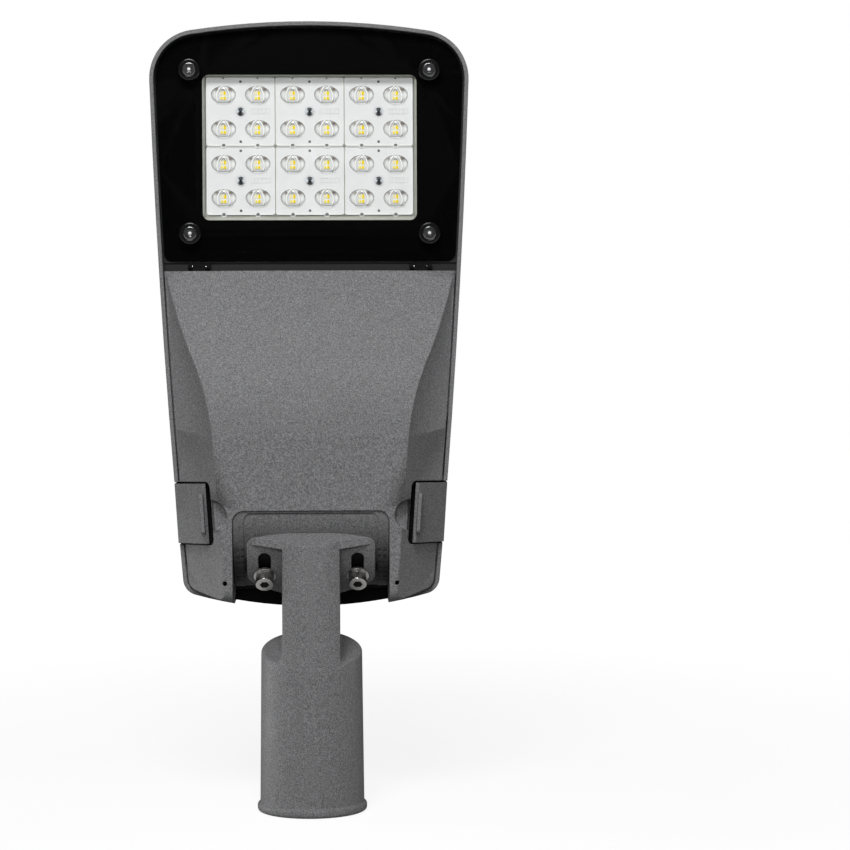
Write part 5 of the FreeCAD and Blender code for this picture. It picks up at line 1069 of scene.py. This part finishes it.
def soft_lamp(name, place, target, width, height, power):
    """Rectangular soft lamp that faces a target."""
    data = bpy.data.lights.new(name, "AREA")
    data.shape = "RECTANGLE"
    data.size = width
    data.size_y = height
    data.energy = power
    lamp = bpy.data.objects.new(name, data)
    lamp.location = place
    lamp.rotation_euler = (Vector(target) - Vector(place)).to_track_quat("-Z", "Y").to_euler()
    bpy.context.scene.collection.objects.link(lamp)
    return lamp


class LAMP_OT_stage(bpy.types.Operator):
    """Make the floor, the world, the lamps and the camera."""

    bl_idname = "lamp.stage"
    bl_label = "Stage"

    def execute(self, context):
        scene = context.scene
        stage = scene.lamp_stage
        builder = bmesh.new()
        reach = 6.0
        for x, y in ((-reach, -reach), (reach, -reach), (reach, reach), (-reach, reach)):
            builder.verts.new((x, y, -0.3 * MM))
        builder.faces.new(builder.verts)
        floor = add_object("floor", mesh_from("floor", builder))
        material, tree, shader = new_finish("pale_floor")
        grey = stage.floor_colour
        stops = [(0.3, (grey,) * 3), (0.7, (grey * 1.02,) * 3)]
        set_inputs(tree, shader, {
            "Roughness": 0.9, "Specular IOR Level": 0.0, "Base Color": ramp(tree, noise(tree, 0.4), stops)})
        seen = white_where_seen(tree, shader.outputs["BSDF"], stage.white_near, 0.3, 1.3, 0.4)
        set_inputs(tree, tree.nodes["Material Output"], {"Surface": seen})
        floor.data.materials.append(material)
        self.make_world(scene, stage.world_level)
        soft_lamp("key_lamp", (-0.17, -1.25, 1.55), (0.0, 0.0, 0.28), 0.7, 0.5, stage.key_power)
        front = soft_lamp("front_lamp", (-0.10, -2.2, 0.75), (0.0, 0.0, 0.35), 0.9, 0.7, stage.front_power)
        front.visible_glossy = False
        for name, place, share in (
                ("left_edge_lamp", (-1.0, 0.28, 0.08), 1.0), ("right_edge_lamp", (1.0, 0.28, 0.08), 0.3)):
            lamp = soft_lamp(name, place, (0.0, 0.0, 0.06), 0.12, 0.12, share * stage.edge_power)
            lamp.data.spread = math.radians(24)
        self.make_camera(scene, stage)
        scene.view_settings.view_transform = "Standard"
        return {"FINISHED"}

    @staticmethod
    def make_world(scene, level):
        """Even light from all round, white where it is seen."""
        world = bpy.data.worlds.new("studio")
        world.use_nodes = True
        tree = world.node_tree
        tree.nodes.clear()
        even = add_node(tree, "ShaderNodeBackground", {"Strength": level})
        white = add_node(tree, "ShaderNodeBackground", {"Color": (1.0, 1.0, 1.0, 1.0)})
        blend = add_node(tree, "ShaderNodeMixShader", {
            "Fac": seen_directly(tree)[1], 1: even.outputs["Background"], 2: white.outputs["Background"]})
        add_node(tree, "ShaderNodeOutputWorld", {"Surface": blend.outputs["Shader"]})
        scene.world = world

    @staticmethod
    def make_camera(scene, stage):
        """Camera at the photograph's place."""
        data = bpy.data.cameras.new("camera")
        data.sensor_width = 36.0
        data.lens = stage.focal_pixels / IMAGE_SIZE * data.sensor_width
        data.clip_start = 0.05
        data.clip_end = 60.0
        camera = bpy.data.objects.new("camera", data)
        back = -Vector(stage.camera_forward).normalized()
        right = Vector((0.0, 0.0, 1.0)).cross(back)
        right = (right + back.cross(right) * stage.camera_roll).normalized()
        up = back.cross(right)
        turn = Matrix((right, up, back)).transposed()
        camera.matrix_world = Matrix.Translation(Vector(stage.camera_place)) @ turn.to_4x4()
        scene.collection.objects.link(camera)
        scene.camera = camera


class LAMP_PT_panel(bpy.types.Panel):
    """Sidebar panel that lists the steps."""

    bl_idname = "LAMP_PT_panel"
    bl_label = "Street light head"
    bl_space_type = "VIEW_3D"
    bl_region_type = "UI"
    bl_category = "Street Light"

    def draw(self, context):
        layout = self.layout
        for step in STEPS:
            layout.operator(step.bl_idname)
        for group_name in GROUPS:
            group = getattr(context.scene, group_name)
            for name in group.bl_rna.properties.keys():
                if name not in ("rna_type", "name"):
                    layout.prop(group, name)


GROUPS = {
    "lamp_finish": LampFinish,
    "lamp_optics": LampOptics,
    "lamp_scale": LampScale,
    "lamp_stage": LampStage,
}
STEPS = (
    LAMP_OT_castings,
    LAMP_OT_scale,
    LAMP_OT_glazing,
    LAMP_OT_fasteners,
    LAMP_OT_light_unit,
    LAMP_OT_gear,
    LAMP_OT_stage,
)


def register():
    for name, group in GROUPS.items():
        bpy.utils.register_class(group)
        setattr(bpy.types.Scene, name, PointerProperty(type=group))
    for step in STEPS:
        bpy.utils.register_class(step)
    bpy.utils.register_class(LAMP_PT_panel)


def unregister():
    bpy.utils.unregister_class(LAMP_PT_panel)
    for step in reversed(STEPS):
        bpy.utils.unregister_class(step)
    for name, group in GROUPS.items():
        delattr(bpy.types.Scene, name)
        bpy.utils.unregister_class(group)


def main():
    """Run every step in order."""
    register()
    bpy.ops.lamp.castings()
    bpy.ops.lamp.scale()
    bpy.ops.lamp.glazing()
    bpy.ops.lamp.fasteners()
    bpy.ops.lamp.light_unit()
    bpy.ops.lamp.gear()
    bpy.ops.lamp.stage()


if __name__ == "__main__":
    main()
